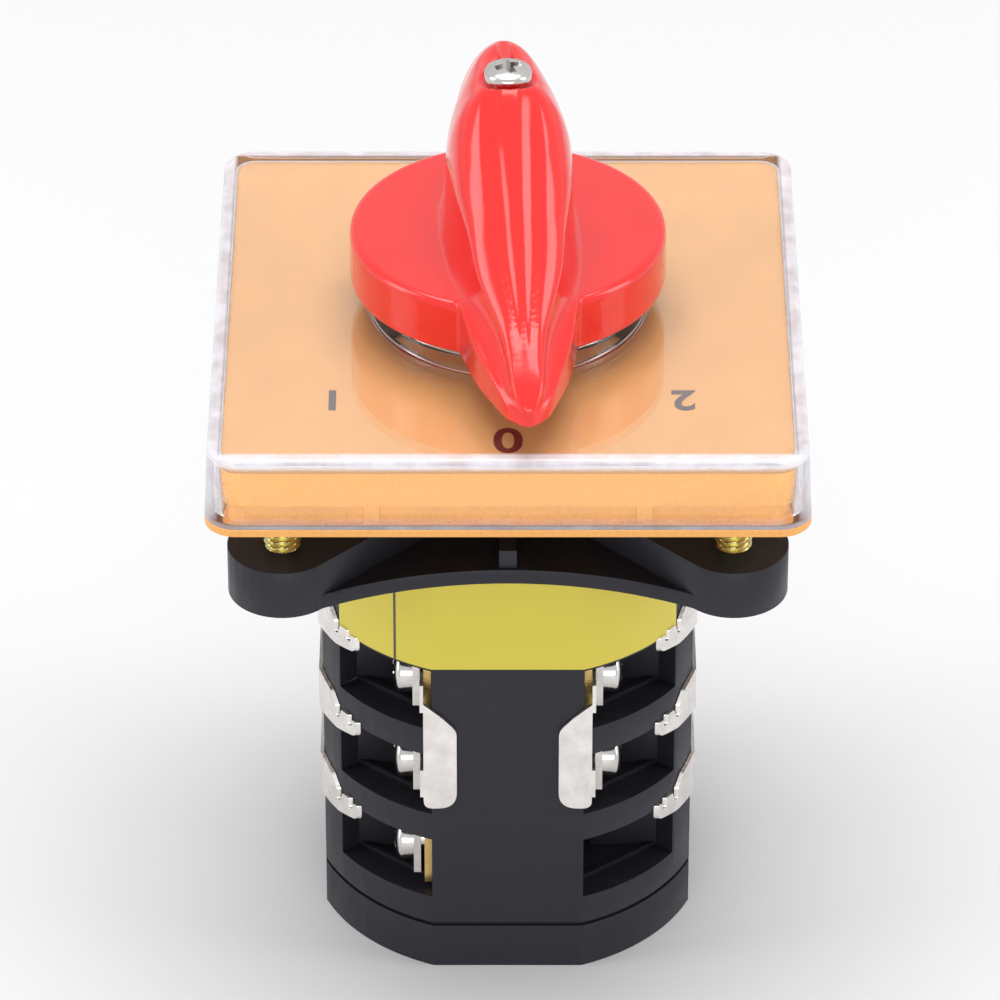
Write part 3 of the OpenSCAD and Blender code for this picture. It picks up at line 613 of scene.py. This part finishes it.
def grip_section(s, flank=10, dome=28):
    """One half of a section as (x, z) points, from the foot to the crest, z above the disc."""
    z = sizes()
    foot, shoulder = (z.grip_half_w * grip_value(s, k) for k in (1, 2))
    shoulder_z, crest_z, foot_z, depth = (z.grip_h * grip_value(s, k) for k in (3, 4, 5, 6))
    inner = shoulder * CREST_SHARE
    outer = shoulder * FLUTE_SHARE
    points = []
    for i in range(flank + 1):
        a = math.pi / 2 * i / flank
        points.append((shoulder + (foot - shoulder) * (1 - math.sin(a)),
                       foot_z + (shoulder_z - foot_z) * (1 - math.cos(a))))
    for i in range(1, dome + 1):
        a = math.pi / 2 * i / dome
        x = shoulder * math.cos(a)
        flute = math.sin(math.pi * (x - inner) / (outer - inner)) ** 2 if inner < x < outer else 0
        points.append((x, shoulder_z + (crest_z - shoulder_z) * math.sin(a) - depth * flute))
    return points


def grip_loft(stations=110):
    """The grip's skin through all its sections, down to the underside of the disc."""
    z = sizes()
    verts = []
    for k in range(stations + 1):
        s = -GRIP_REAR_SHARE + (1 + GRIP_REAR_SHARE) * k / stations
        half = grip_section(s)
        right = [(half[0][0], -z.disc_h)] + half
        ring = right + [(-x, h) for x, h in reversed(right[:-1])]
        verts += [(x, -z.grip_tip * s, h) for x, h in ring]
    count = len(ring)
    faces = band_faces(count, stations + 1)
    faces.append(tuple(range(count)))
    faces.append(tuple(stations * count + i for i in reversed(range(count))))
    grip = new_object("grip", verts, faces)
    mend(grip)
    return grip


def handle_top():
    """Height of the disc's top face."""
    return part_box("handle")[0].z + sizes().hub_drop


class SWITCH_OT_handle(bpy.types.Operator):
    """Makes the glossy red handle: disc, sculpted grip and hub in one moulding"""

    bl_idname = "switch.handle"
    bl_label = "Handle"

    def execute(self, context):
        z = sizes()
        hub_r = 6.5 * MM
        rim_r = 0.7 * MM
        recess_r = 3.05 * MM
        recess_z = z.grip_h - RECESS_DEPTH
        notch_half = 0.7 * MM
        notch_z = z.grip_h - 0.7 * MM
        clear_z = 2 * z.grip_h
        skew = math.radians(4.1)
        body = grip_loft()
        rim = arc(z.disc_r - rim_r, -rim_r, rim_r, 0, 90)
        foot = arc(z.disc_r - rim_r / 2, rim_r / 2 - z.disc_h, rim_r / 2, -90, 0, 3)
        hub = [(0, -z.hub_drop), (hub_r, -z.hub_drop), (hub_r, -z.disc_h)]
        combine(body, lathe("disc", [*hub, *foot, *rim, (0, 0)], 160), "UNION")
        hollow = [(0, recess_z), (recess_r, recess_z), (recess_r, clear_z), (0, clear_z)]
        combine(body, lathe("recess", hollow, 64), "DIFFERENCE")
        notch = block("notch", (-notch_half, 0, notch_z), (notch_half, z.grip_tip, clear_z))
        combine(body, notch, "DIFFERENCE")
        melt = body.modifiers.new("melt", "REMESH")
        melt.mode = "VOXEL"
        melt.voxel_size = z.voxel
        relax = body.modifiers.new("relax", "SMOOTH")
        relax.factor = 0.5
        relax.iterations = 8
        apply_modifiers(body)
        lift = Matrix.Translation((0, 0, handle_top()))
        body.data.transform(lift @ Matrix.Rotation(skew, 4, "Z"))
        body.name = "handle_moulding"
        smooth(body, 180)
        place_piece(body, ROTOR, "handle", "red_plastic", "handle")
        return {"FINISHED"}


# Screws


def cross_recess(radius, depth):
    """A cutter for a cross recess: two tapered bars that cross each other and point down."""
    wing_share = 0.30
    faces = [(3, 2, 1, 0), (4, 5, 6, 7), (0, 1, 5, 4), (1, 2, 6, 5), (2, 3, 7, 6), (3, 0, 4, 7)]
    bars = []
    for turn in (0, math.pi / 2):
        verts = []
        for level, grow in ((0.6 * depth, 1.25), (-depth, 0.45)):
            across = radius * wing_share * (0.6 + 0.4 * grow)
            for x, y in ((-1, -1), (1, -1), (1, 1), (-1, 1)):
                p = Vector((x * radius * grow, y * across, level))
                p.rotate(Matrix.Rotation(turn, 3, "Z"))
                verts.append(p)
        bar = new_object("bar", verts, faces)
        mend(bar)
        bars.append(bar)
    combine(bars[0], bars[1], "UNION")
    return bars[0]


def pan_head(name, radius, height, shank_r, shank_l, cross_r, cross_d, steps=48):
    """A pan-headed screw along Z, its seat at z = 0 and its shank below."""
    crown = 0.35 * height
    side = height - crown
    edge = min(0.35 * radius, 0.8 * crown)
    edge_z = side - 0.4 * edge
    profile = [(0, -shank_l), (shank_r, -shank_l), (shank_r, 0), (radius, 0), (radius, edge_z)]
    profile += arc(radius - edge, edge_z, edge, 10, 62, 5)
    top_r, top_z = profile[-1]
    steps_up = 6
    for i in range(1, steps_up + 1):
        t = i / steps_up
        profile.append((top_r * (1 - t), top_z + (height - top_z) * (1 - (1 - t) ** 2)))
    screw = lathe(name, profile, steps)
    mend(screw)
    cutter = cross_recess(cross_r, cross_d)
    cutter.data.transform(Matrix.Translation((0, 0, 0.94 * height)))
    combine(screw, cutter, "DIFFERENCE")
    return screw


def thread(name, radius, pitch, low, high, steps=40, per_turn=8):
    """A threaded rod along Z, closed at both ends. Its thread fades out towards both ends."""
    depth = 0.54 * pitch
    crest_start, flank_share = 0.12, 0.72
    least_fade = 0.25
    rows = max(2, int((high - low) / pitch * per_turn))
    verts = []
    for k in range(rows + 1):
        z = low + (high - low) * k / rows
        for i in range(steps):
            phase = (z / pitch - i / steps) % 1
            wave = abs(2 * phase - 1)
            crest = min(1, max(0, (wave - crest_start) / flank_share))
            fade = min(1, (high - z) / pitch, max(least_fade, (z - low) / pitch))
            r = radius - depth * (1 - crest) * fade
            a = TURN * i / steps
            verts.append((r * math.cos(a), r * math.sin(a), z))
    faces = band_faces(steps, rows + 1)
    faces.append(tuple(reversed(range(steps))))
    faces.append(tuple(rows * steps + i for i in range(steps)))
    return new_object(name, verts, faces)


class SWITCH_OT_handle_screw(bpy.types.Operator):
    """Makes the cross-recess screw in the grip's round recess"""

    bl_idname = "switch.handle_screw"
    bl_label = "Handle screw"

    def execute(self, context):
        head_r, head_h = 2.52 * MM, 2.1 * MM
        cross_r, cross_d = 1.5 * MM, 1.2 * MM
        shank_r = 1.5 * MM
        turned = Matrix.Rotation(math.radians(20), 4, "Z")
        seat = handle_top() + sizes().grip_h - RECESS_DEPTH
        shank_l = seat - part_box("handle_screw")[0].z
        screw = pan_head("handle_screw_turned", head_r, head_h, shank_r, shank_l, cross_r, cross_d, 96)
        screw.data.transform(Matrix.Translation((0, 0, seat)) @ turned)
        smooth(screw, 28)
        place_piece(screw, ROTOR, "bright", "nickel", "handle_screw")
        return {"FINISHED"}


class SWITCH_OT_panel_screws(bpy.types.Operator):
    """Makes the four threaded fixing screws"""

    bl_idname = "switch.panel_screws"
    bl_label = "Panel screws"

    def execute(self, context):
        low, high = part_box("panel_screws")
        head_r, head_h = 3.6 * MM, 2.4 * MM
        neck_r, neck_l = 1.6 * MM, 0.5 * MM
        cross_r, cross_d = 2 * MM, 1.3 * MM
        thread_r = 2 * MM
        pitch = 0.7 * MM
        seat = high.z - head_h
        half = high.x - head_r
        parts = []
        for x in (-half, half):
            for y in (-half, half):
                rod = thread("rod", thread_r, pitch, low.z, seat)
                head = pan_head("head", head_r, head_h, neck_r, neck_l, cross_r, cross_d)
                head.data.transform(Matrix.Translation((0, 0, seat)))
                screw = joined("screw", [rod, head])
                screw.data.transform(Matrix.Translation((x, y, 0)))
                parts.append(screw)
        screws = joined("panel_screws_threaded", parts)
        smooth(screws, 40)
        place_piece(screws, HOUSING, "zinc", "zinc_yellow", "panel_screws")
        return {"FINISHED"}


class SWITCH_OT_terminals(bpy.types.Operator):
    """Dresses the brass plates, washers and screws of all terminals"""

    bl_idname = "switch.terminals"
    bl_label = "Terminals"

    def execute(self, context):
        metal = sizes().metal_round
        head_r, head_h = 2.6 * MM, 2.2 * MM
        shank_r, shank_l = 1.4 * MM, 4.5 * MM
        cross_r, cross_d = 1.5 * MM, 1.1 * MM
        bare_place = (3, 1, -1)
        for k in STAGES:
            dress(f"fixed_contacts_{k}", "brass", metal)
            dress(f"clamp_washers_{k}", "nickel", metal)
            low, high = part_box(f"terminal_screws_{k}")
            seat = high.x - head_h
            reach_y = high.y - head_r
            height = (low.z + high.z) / 2
            parts = []
            for side in SIDES:
                lean = Matrix.Rotation(side * math.pi / 2, 4, "Y")
                turned = Matrix.Rotation(0.4 + k + side, 4, "Z")
                for end in SIDES:
                    if (k, side, end) == bare_place:
                        continue
                    spot = Matrix.Translation((side * seat, end * reach_y, height))
                    screw = pan_head("screw", head_r, head_h, shank_r, shank_l, cross_r, cross_d)
                    screw.data.transform(spot @ lean @ turned)
                    parts.append(screw)
            screws = joined(f"terminal_screws_turned_{k}", parts)
            smooth(screws, 28)
            place_piece(screws, HOUSING, "bright", "nickel", f"terminal_screws_{k}")
        return {"FINISHED"}


# Front plate


def square_ring(half, radius, z, corner=12, side=36):
    """Points round a rounded square, counted the same way for every ring."""
    centre = half - radius
    points = []
    for quarter in range(4):
        turn = Matrix.Rotation(math.pi / 2 * quarter, 2)
        for i in range(side):
            points.append(turn @ Vector((half, -centre + 2 * centre * i / side)))
        for i in range(corner):
            a = math.pi / 2 * i / corner
            points.append(turn @ Vector((centre + radius * math.cos(a), centre + radius * math.sin(a))))
    return [Vector((p.x, p.y, z)) for p in points]


def circle_ring(radius, z, like):
    """Points of a circle in the directions of another ring's points."""
    directions = [p.to_2d().normalized() for p in like]
    return [Vector((radius * d.x, radius * d.y, z)) for d in directions]


def quarter_turn(steps):
    """How far a rounded edge stands back in both directions, from (1, 0) to (0, 1)."""
    angles = [math.pi / 2 * i / steps for i in range(steps + 1)]
    return [(1 - math.sin(a), 1 - math.cos(a)) for a in angles]


def ring_loft(name, rings):
    """A closed skin over rings that follow each other round the wall of an open shape."""
    verts = [p for ring in rings for p in ring]
    skin = new_object(name, verts, band_faces(len(rings[0]), len(rings), around=True))
    mend(skin)
    return skin


class SWITCH_OT_clear_cover(bpy.types.Operator):
    """Makes the clear cover with its drafted walls, rounded edges and collar"""

    bl_idname = "switch.clear_cover"
    bl_label = "Clear cover"

    def execute(self, context):
        z = sizes()
        low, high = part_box("clear_cover")
        half = (high.x - low.x) / 2
        corner = z.cover_corner
        inner_corner = corner - z.cover_wall
        top = high.z - z.collar_h
        ceiling = top - z.cover_wall
        top_half = half - z.cover_draft
        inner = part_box("front_frame")[1].x - z.cover_draft - z.cover_wall
        hole_r = z.collar_r - z.cover_wall
        foot_edge = 0.12 * MM
        edge = 0.55 * MM
        inner_edge = 0.4 * MM
        fillet = 0.6 * MM
        collar_edge = 0.5 * MM
        hole_edge = 0.3 * MM
        hole_foot = 0.2 * MM
        border = 0.2 * MM
        rings = [square_ring(inner, inner_corner, low.z),
                 square_ring(half - foot_edge, corner, low.z),
                 square_ring(half, corner, low.z + foot_edge)]
        for a, b in quarter_turn(6):
            rings.append(square_ring(top_half - edge * b, corner, top - edge * a))
        flat = square_ring(top_half - edge - border, corner, top)
        rings += [flat, circle_ring(z.collar_r + fillet + border, top, flat)]
        for a, b in quarter_turn(5):
            rings.append(circle_ring(z.collar_r + fillet * a, top + fillet * b, flat))
        for a, b in quarter_turn(5):
            rings.append(circle_ring(z.collar_r - collar_edge * b, high.z - collar_edge * a, flat))
        for a, b in quarter_turn(3):
            rings.append(circle_ring(hole_r + hole_edge * a, high.z - hole_edge * b, flat))
        rings += [circle_ring(hole_r, ceiling + hole_foot, flat),
                  circle_ring(hole_r + hole_foot, ceiling, flat),
                  circle_ring(hole_r + hole_foot + border, ceiling, flat),
                  square_ring(inner - inner_edge - border, inner_corner, ceiling)]
        for a, b in quarter_turn(4):
            rings.append(square_ring(inner - inner_edge * a, inner_corner, ceiling - inner_edge * b))
        cover = ring_loft("clear_cover_moulding", rings)
        smooth(cover, 32)
        place_piece(cover, HOUSING, "clear", "clear_plastic", "clear_cover")
        return {"FINISHED"}


def flat_text(text, height, ink_t):
    """A mesh of plain characters of the given height, face up and centred on the origin."""
    cap_share = 0.7
    curve = bpy.data.curves.new("mark", "FONT")
    curve.body = text
    curve.size = height / cap_share
    curve.align_x = "CENTER"
    curve.align_y = "CENTER"
    curve.extrude = ink_t
    curve.offset = 0.035 * sizes().number_h
    mark = in_scene("mark", curve)
    graph = bpy.context.evaluated_depsgraph_get()
    mesh = bpy.data.meshes.new_from_object(mark.evaluated_get(graph))
    bpy.data.objects.remove(mark)
    return mesh


class SWITCH_OT_front_frame(bpy.types.Operator):
    """Dresses the yellow frame and the legend plate, and prints the dial's numbers"""

    bl_idname = "switch.front_frame"
    bl_label = "Front frame and dial"

    def execute(self, context):
        z = sizes()
        ink_t = 0.02 * MM
        dress("front_frame", "frame", 0.15 * MM)
        dress("legend_plate", "legend", 0.1 * MM)
        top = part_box("legend_plate")[1].z
        marks = (("1", -45, "print", 1.0), ("0", 0, "middle_print", 1.22), ("2", 45, "print", 1.0))
        for text, turn, kind, scale in marks:
            mark = in_scene(f"dial_number_{text}", flat_text(text, z.number_h * scale, ink_t))
            a = math.radians(turn)
            spot = (z.number_ring * math.sin(a), -z.number_ring * math.cos(a), top + ink_t)
            mark.data.transform(Matrix.Translation(spot) @ Matrix.Rotation(math.pi, 4, "Z"))
            place_piece(mark, HOUSING, kind, "legend_yellow")
        return {"FINISHED"}


# Body


# Outer radius of the stages' round corners
BODY_R = 22 * MM
# Painted shade of the small slots down the front post, laid as dark marks, in mm: the foot's height,
# the slot's height and its half width
SLOT_SHADE_MARKS = ((31.6, 1.35, 0.16), (21.4, 0.7, 0.22), (9.9, 0.6, 0.16))
SLOT_SHADE_PLACES = (-2.4, 2.7)


class SWITCH_OT_housings(bpy.types.Operator):
    """Dresses the base, the stages, the detent housing and its label"""

    bl_idname = "switch.housings"
    bl_label = "Housings"

    def execute(self, context):
        for node in ("rear_cover", "stage_housing_1", "stage_housing_2", "stage_housing_3",
                     "mounting_flange", "detent_plate"):
            dress(node, "housing")
        dress("tie_screws", "bright", sizes().metal_round)
        dress("rating_label", "label", 0)
        self.print_divider()
        self.paint_slot_shade()
        return {"FINISHED"}

    def print_divider(self):
        """Prints the upright line that divides the label."""
        low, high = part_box("rating_label")
        reach = 12.15 * MM
        half = 0.14 * MM
        inner, outer = BODY_R + 0.1 * MM, BODY_R + 0.24 * MM
        margin = 0.05 * MM
        line = block("label_divider", (-half, -outer, low.z + margin), (half, -inner, high.z - margin))
        line.data.transform(Matrix.Rotation(-math.asin(reach / BODY_R), 4, "Z"))
        place_piece(line, HOUSING, "print", "label_yellow")

    def paint_slot_shade(self):
        """Lays two columns of small dark marks on the front post: painted shade of its slots."""
        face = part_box("stage_housing_1")[0].y
        front, back = face - 0.015 * MM, face + 0.1 * MM
        marks = []
        for x in SLOT_SHADE_PLACES:
            for foot, height, half in SLOT_SHADE_MARKS:
                marks.append(block("mark", ((x - half) * MM, front, foot * MM),
                                   ((x + half) * MM, back, (foot + height) * MM)))
        place_piece(joined("post_slot_shade", marks), HOUSING, "dark", "black_plastic")


# The links' arms, in mm: their feet's heights and how high each stands
ARM_FEET = (34.9, 23.55)
ARM_H = 3.6
# A link's face in mm as (distance from the middle, height, corner radius)
LINK_OUTLINE = (
    (9.22, 22.02, 1.0),
    (9.22, 36.0, 0),
    (8.9, 35.7, 0.3),
    (7.1, 34.1, 2.2),
    (5.58, 32.4, 1.8),
    (5.58, 22.02, 2.1),
)
# Half of a clip in mm as (distance from the middle, height over the seam, corner radius)
CLIP_OUTLINE = (
    (0, -1.95, 0),
    (12.2, -1.95, 0.5),
    (14.98, -1.25, 0.8),
    (14.98, 0.65, 0.15),
    (14.45, 0.65, 0.15),
    (14.4, -0.25, 0.25),
    (13.9, -0.25, 0.25),
    (13.85, 0.95, 0.15),
    (12.95, 0.95, 0.15),
    (12.5, -0.4, 0.2),
    (12.05, -0.4, 0.2),
    (12.0, 0.9, 0.6),
    (10.9, 2.4, 1.2),
    (8.6, 3.3, 0.8),
    (0, 3.3, 0),
)


def body_points(grow, steps=240):
    """Points round the body's outline, pushed out by grow."""
    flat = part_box("stage_housing_2")[1].x + grow
    radius = BODY_R + grow
    corner = math.acos(flat / radius)
    angles = {TURN * i / steps for i in range(steps)}
    for quarter in range(4):
        angles |= {(math.pi / 2 * quarter + side * corner) % TURN for side in SIDES}
    points = []
    for a in sorted(angles):
        reach = min(radius, flat / max(abs(math.cos(a)), abs(math.sin(a))))
        points.append((reach * math.cos(a), reach * math.sin(a)))
    return points


class SWITCH_OT_links(bpy.types.Operator):
    """Makes the jumper links on the front post and the forked side clips"""

    bl_idname = "switch.links"
    bl_label = "Links and clips"

    def execute(self, context):
        for side, node in zip(SIDES, ("jumper_left", "jumper_right")):
            self.fold_link(side, node)
        for k in STAGES:
            self.form_clips(k)
        return {"FINISHED"}

    def fold_link(self, side, node):
        """Makes a link with its rounded face and the arms that reach back."""
        low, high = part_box(node)
        sheet = 0.4 * MM
        face = low.y
        outer = max(abs(low.x), abs(high.x))
        near, far = sorted((side * (outer - sheet), side * outer))
        outline = [(side * u * MM, v * MM) for u, v in rounded(LINK_OUTLINE)]
        link = prism(f"{node}_folded", outline, face, face + sheet, "y")
        for foot in ARM_FEET:
            arm = block("arm", (near, face, foot * MM), (far, high.y, (foot + ARM_H) * MM))
            combine(link, arm, "UNION")
        smooth(link, 32)
        bevelled(link, 0.12 * MM, 3)
        place_piece(link, HOUSING, "link", "nickel", node)

    def form_clips(self, k):
        """Cuts the two clips over one seam from a shell round the body."""
        low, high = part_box(f"side_clips_{k}")
        seam = low.z + 1.9 * MM
        spare = 1 * MM
        near, far = 10 * MM, 24 * MM
        foot, top = low.z - spare, high.z + spare
        clips = prism(f"side_clips_formed_{k}", body_points(0.45 * MM), foot, top)
        inner = prism("inner", body_points(0.05 * MM), foot - spare, top + spare)
        combine(clips, inner, "DIFFERENCE")
        outline = [(u * MM, v * MM + seam) for u, v in rounded(CLIP_OUTLINE)]
        outline += [(-u, v) for u, v in reversed(outline[1:-1])]
        both = [prism("part", outline, side * near, side * far, "x") for side in SIDES]
        cutter = joined("cutter", both)
        mend(cutter)
        combine(clips, cutter, "INTERSECT")
        smooth(clips, 32)
        bevelled(clips, 0.07 * MM)
        place_piece(clips, HOUSING, "clip", "nickel", f"side_clips_{k}")


class SWITCH_OT_mechanism(bpy.types.Operator):
    """Dresses the shaft, cams, plungers, bridges and springs inside"""

    bl_idname = "switch.mechanism"
    bl_label = "Mechanism"

    def execute(self, context):
        metal = sizes().metal_round
        dress("shaft", "steel", metal)
        dress("star_wheel", "ivory", metal)
        dress("detent_springs", "steel", metal)
        for k in STAGES:
            dress(f"cam_{k}", "ivory", metal)
            for end in ENDS:
                dress(f"{end}_plunger_{k}", "ivory", metal)
                dress(f"{end}_bridge_{k}", "brass", metal)
                spring = dress(f"{end}_spring_{k}", "steel", 0)
                smooth(spring, 60)
        return {"FINISHED"}


# Studio


def area_light(name, place, aim, size_x, size_y, power):
    """A rectangular lamp that is turned to the aimed point."""
    lamp = bpy.data.lights.new(name, "AREA")
    lamp.shape = "RECTANGLE"
    lamp.size = size_x
    lamp.size_y = size_y
    lamp.energy = power
    obj = in_scene(name, lamp)
    obj.location = place
    obj.rotation_euler = (Vector(aim) - Vector(place)).to_track_quat("-Z", "Y").to_euler()


class SWITCH_OT_studio(bpy.types.Operator):
    """Sets up the floor, the world, the lamps and the camera"""

    bl_idname = "switch.studio"
    bl_label = "Studio"

    def execute(self, context):
        context.scene.view_settings.view_transform = "Standard"
        self.lay_floor()
        self.light_world(context.scene)
        self.place_lamps()
        self.place_camera(context.scene)
        return {"FINISHED"}

    def lay_floor(self):
        """Lays a wide pale floor just under the base."""
        half = 3.0
        corners = [(-half, -half, 0), (half, -half, 0), (half, half, 0), (-half, half, 0)]
        floor = new_object("studio_floor", corners, [(0, 1, 2, 3)])
        floor.location.z = -0.02 * MM
        material, tree = new_tree("studio_floor")
        shader = shader_node(tree, 0.6)
        shader.inputs["Base Color"].default_value = (*studio().floor, 1)
        shader.inputs["Specular IOR Level"].default_value = 0.2
        floor.data.materials.append(material)

    def light_world(self, scene):
        """Lights the object dimly, and shows a plain backdrop behind it and in its gloss."""
        world = bpy.data.worlds.new("studio_world")
        scene.world = world
        world.use_nodes = True
        tree = world.node_tree
        tree.nodes.clear()
        output = tree.nodes.new("ShaderNodeOutputWorld")
        light = tree.nodes.new("ShaderNodeBackground")
        light.inputs["Color"].default_value = (1, 1, 1, 1)
        light.inputs["Strength"].default_value = studio().ambient
        seen = tree.nodes.new("ShaderNodeBackground")
        seen.inputs["Color"].default_value = (0.86, 0.87, 0.89, 1)
        path = tree.nodes.new("ShaderNodeLightPath")
        direct = maths(tree, "MAXIMUM", path.outputs["Is Camera Ray"], path.outputs["Is Glossy Ray"])
        any_of = maths(tree, "MAXIMUM", direct, path.outputs["Is Transmission Ray"])
        mix = tree.nodes.new("ShaderNodeMixShader")
        tree.links.new(any_of, mix.inputs[0])
        tree.links.new(light.outputs[0], mix.inputs[1])
        tree.links.new(seen.outputs[0], mix.inputs[2])
        tree.links.new(mix.outputs[0], output.inputs[0])

    def place_lamps(self):
        """Places the four soft lamps."""
        aim = (0, 0, 0.06)
        area_light("top_light", (0, 0.1, 0.9), aim, 0.7, 0.5, 4.4)
        area_light("front_light", (0, -0.95, 0.22), (0, 0, 0.04), 0.9, 0.3, 3.2)
        area_light("left_light", (-0.7, -0.1, 0.35), aim, 0.25, 0.7, 1.6)
        area_light("right_light", (0.7, -0.1, 0.35), aim, 0.25, 0.7, 1.6)

    def place_camera(self, scene):
        """Places the camera that looks from the photograph's side."""
        s = studio()
        camera_data = bpy.data.cameras.new("camera")
        camera_data.sensor_width = 36
        camera_data.lens = s.lens
        camera_data.clip_start = 0.05
        camera_data.clip_end = 20
        camera = in_scene("camera", camera_data)
        target = Vector((s.aim_x, 0, s.aim_z))
        back = Vector((0, -math.cos(s.elevation), math.sin(s.elevation)))
        camera.location = target + back * s.distance
        camera.rotation_euler = (-back).to_track_quat("-Z", "Y").to_euler()
        scene.camera = camera


# Panel and registration


OPERATORS = (
    SWITCH_OT_studio,
    SWITCH_OT_housings,
    SWITCH_OT_links,
    SWITCH_OT_mechanism,
    SWITCH_OT_terminals,
    SWITCH_OT_panel_screws,
    SWITCH_OT_front_frame,
    SWITCH_OT_clear_cover,
    SWITCH_OT_handle,
    SWITCH_OT_handle_screw,
)


class SWITCH_PT_panel(bpy.types.Panel):
    """Lists the switch's settings and the steps that build its looks"""

    bl_idname = "SWITCH_PT_panel"
    bl_label = "Cam Switch"
    bl_space_type = "VIEW_3D"
    bl_region_type = "UI"
    bl_category = "Cam Switch"

    def draw(self, context):
        layout = self.layout
        for group in (colours(), sizes(), studio()):
            box = layout.box()
            for name in group.__annotations__:
                box.prop(group, name)
        for operator in OPERATORS:
            layout.operator(operator.bl_idname)


GROUPS = (SwitchColours, SwitchSizes, StudioSettings)


def register():
    for cls in (*GROUPS, *OPERATORS, SWITCH_PT_panel):
        bpy.utils.register_class(cls)
    bpy.types.Scene.switch_colours = bpy.props.PointerProperty(type=SwitchColours)
    bpy.types.Scene.switch_sizes = bpy.props.PointerProperty(type=SwitchSizes)
    bpy.types.Scene.switch_studio = bpy.props.PointerProperty(type=StudioSettings)


def unregister():
    del bpy.types.Scene.switch_studio
    del bpy.types.Scene.switch_sizes
    del bpy.types.Scene.switch_colours
    for cls in reversed((*GROUPS, *OPERATORS, SWITCH_PT_panel)):
        bpy.utils.unregister_class(cls)


def main():
    """Runs every operator once."""
    register()
    bpy.ops.switch.studio()
    bpy.ops.switch.housings()
    bpy.ops.switch.links()
    bpy.ops.switch.mechanism()
    bpy.ops.switch.terminals()
    bpy.ops.switch.panel_screws()
    bpy.ops.switch.front_frame()
    bpy.ops.switch.clear_cover()
    bpy.ops.switch.handle()
    bpy.ops.switch.handle_screw()


if __name__ == "__main__":
    main()
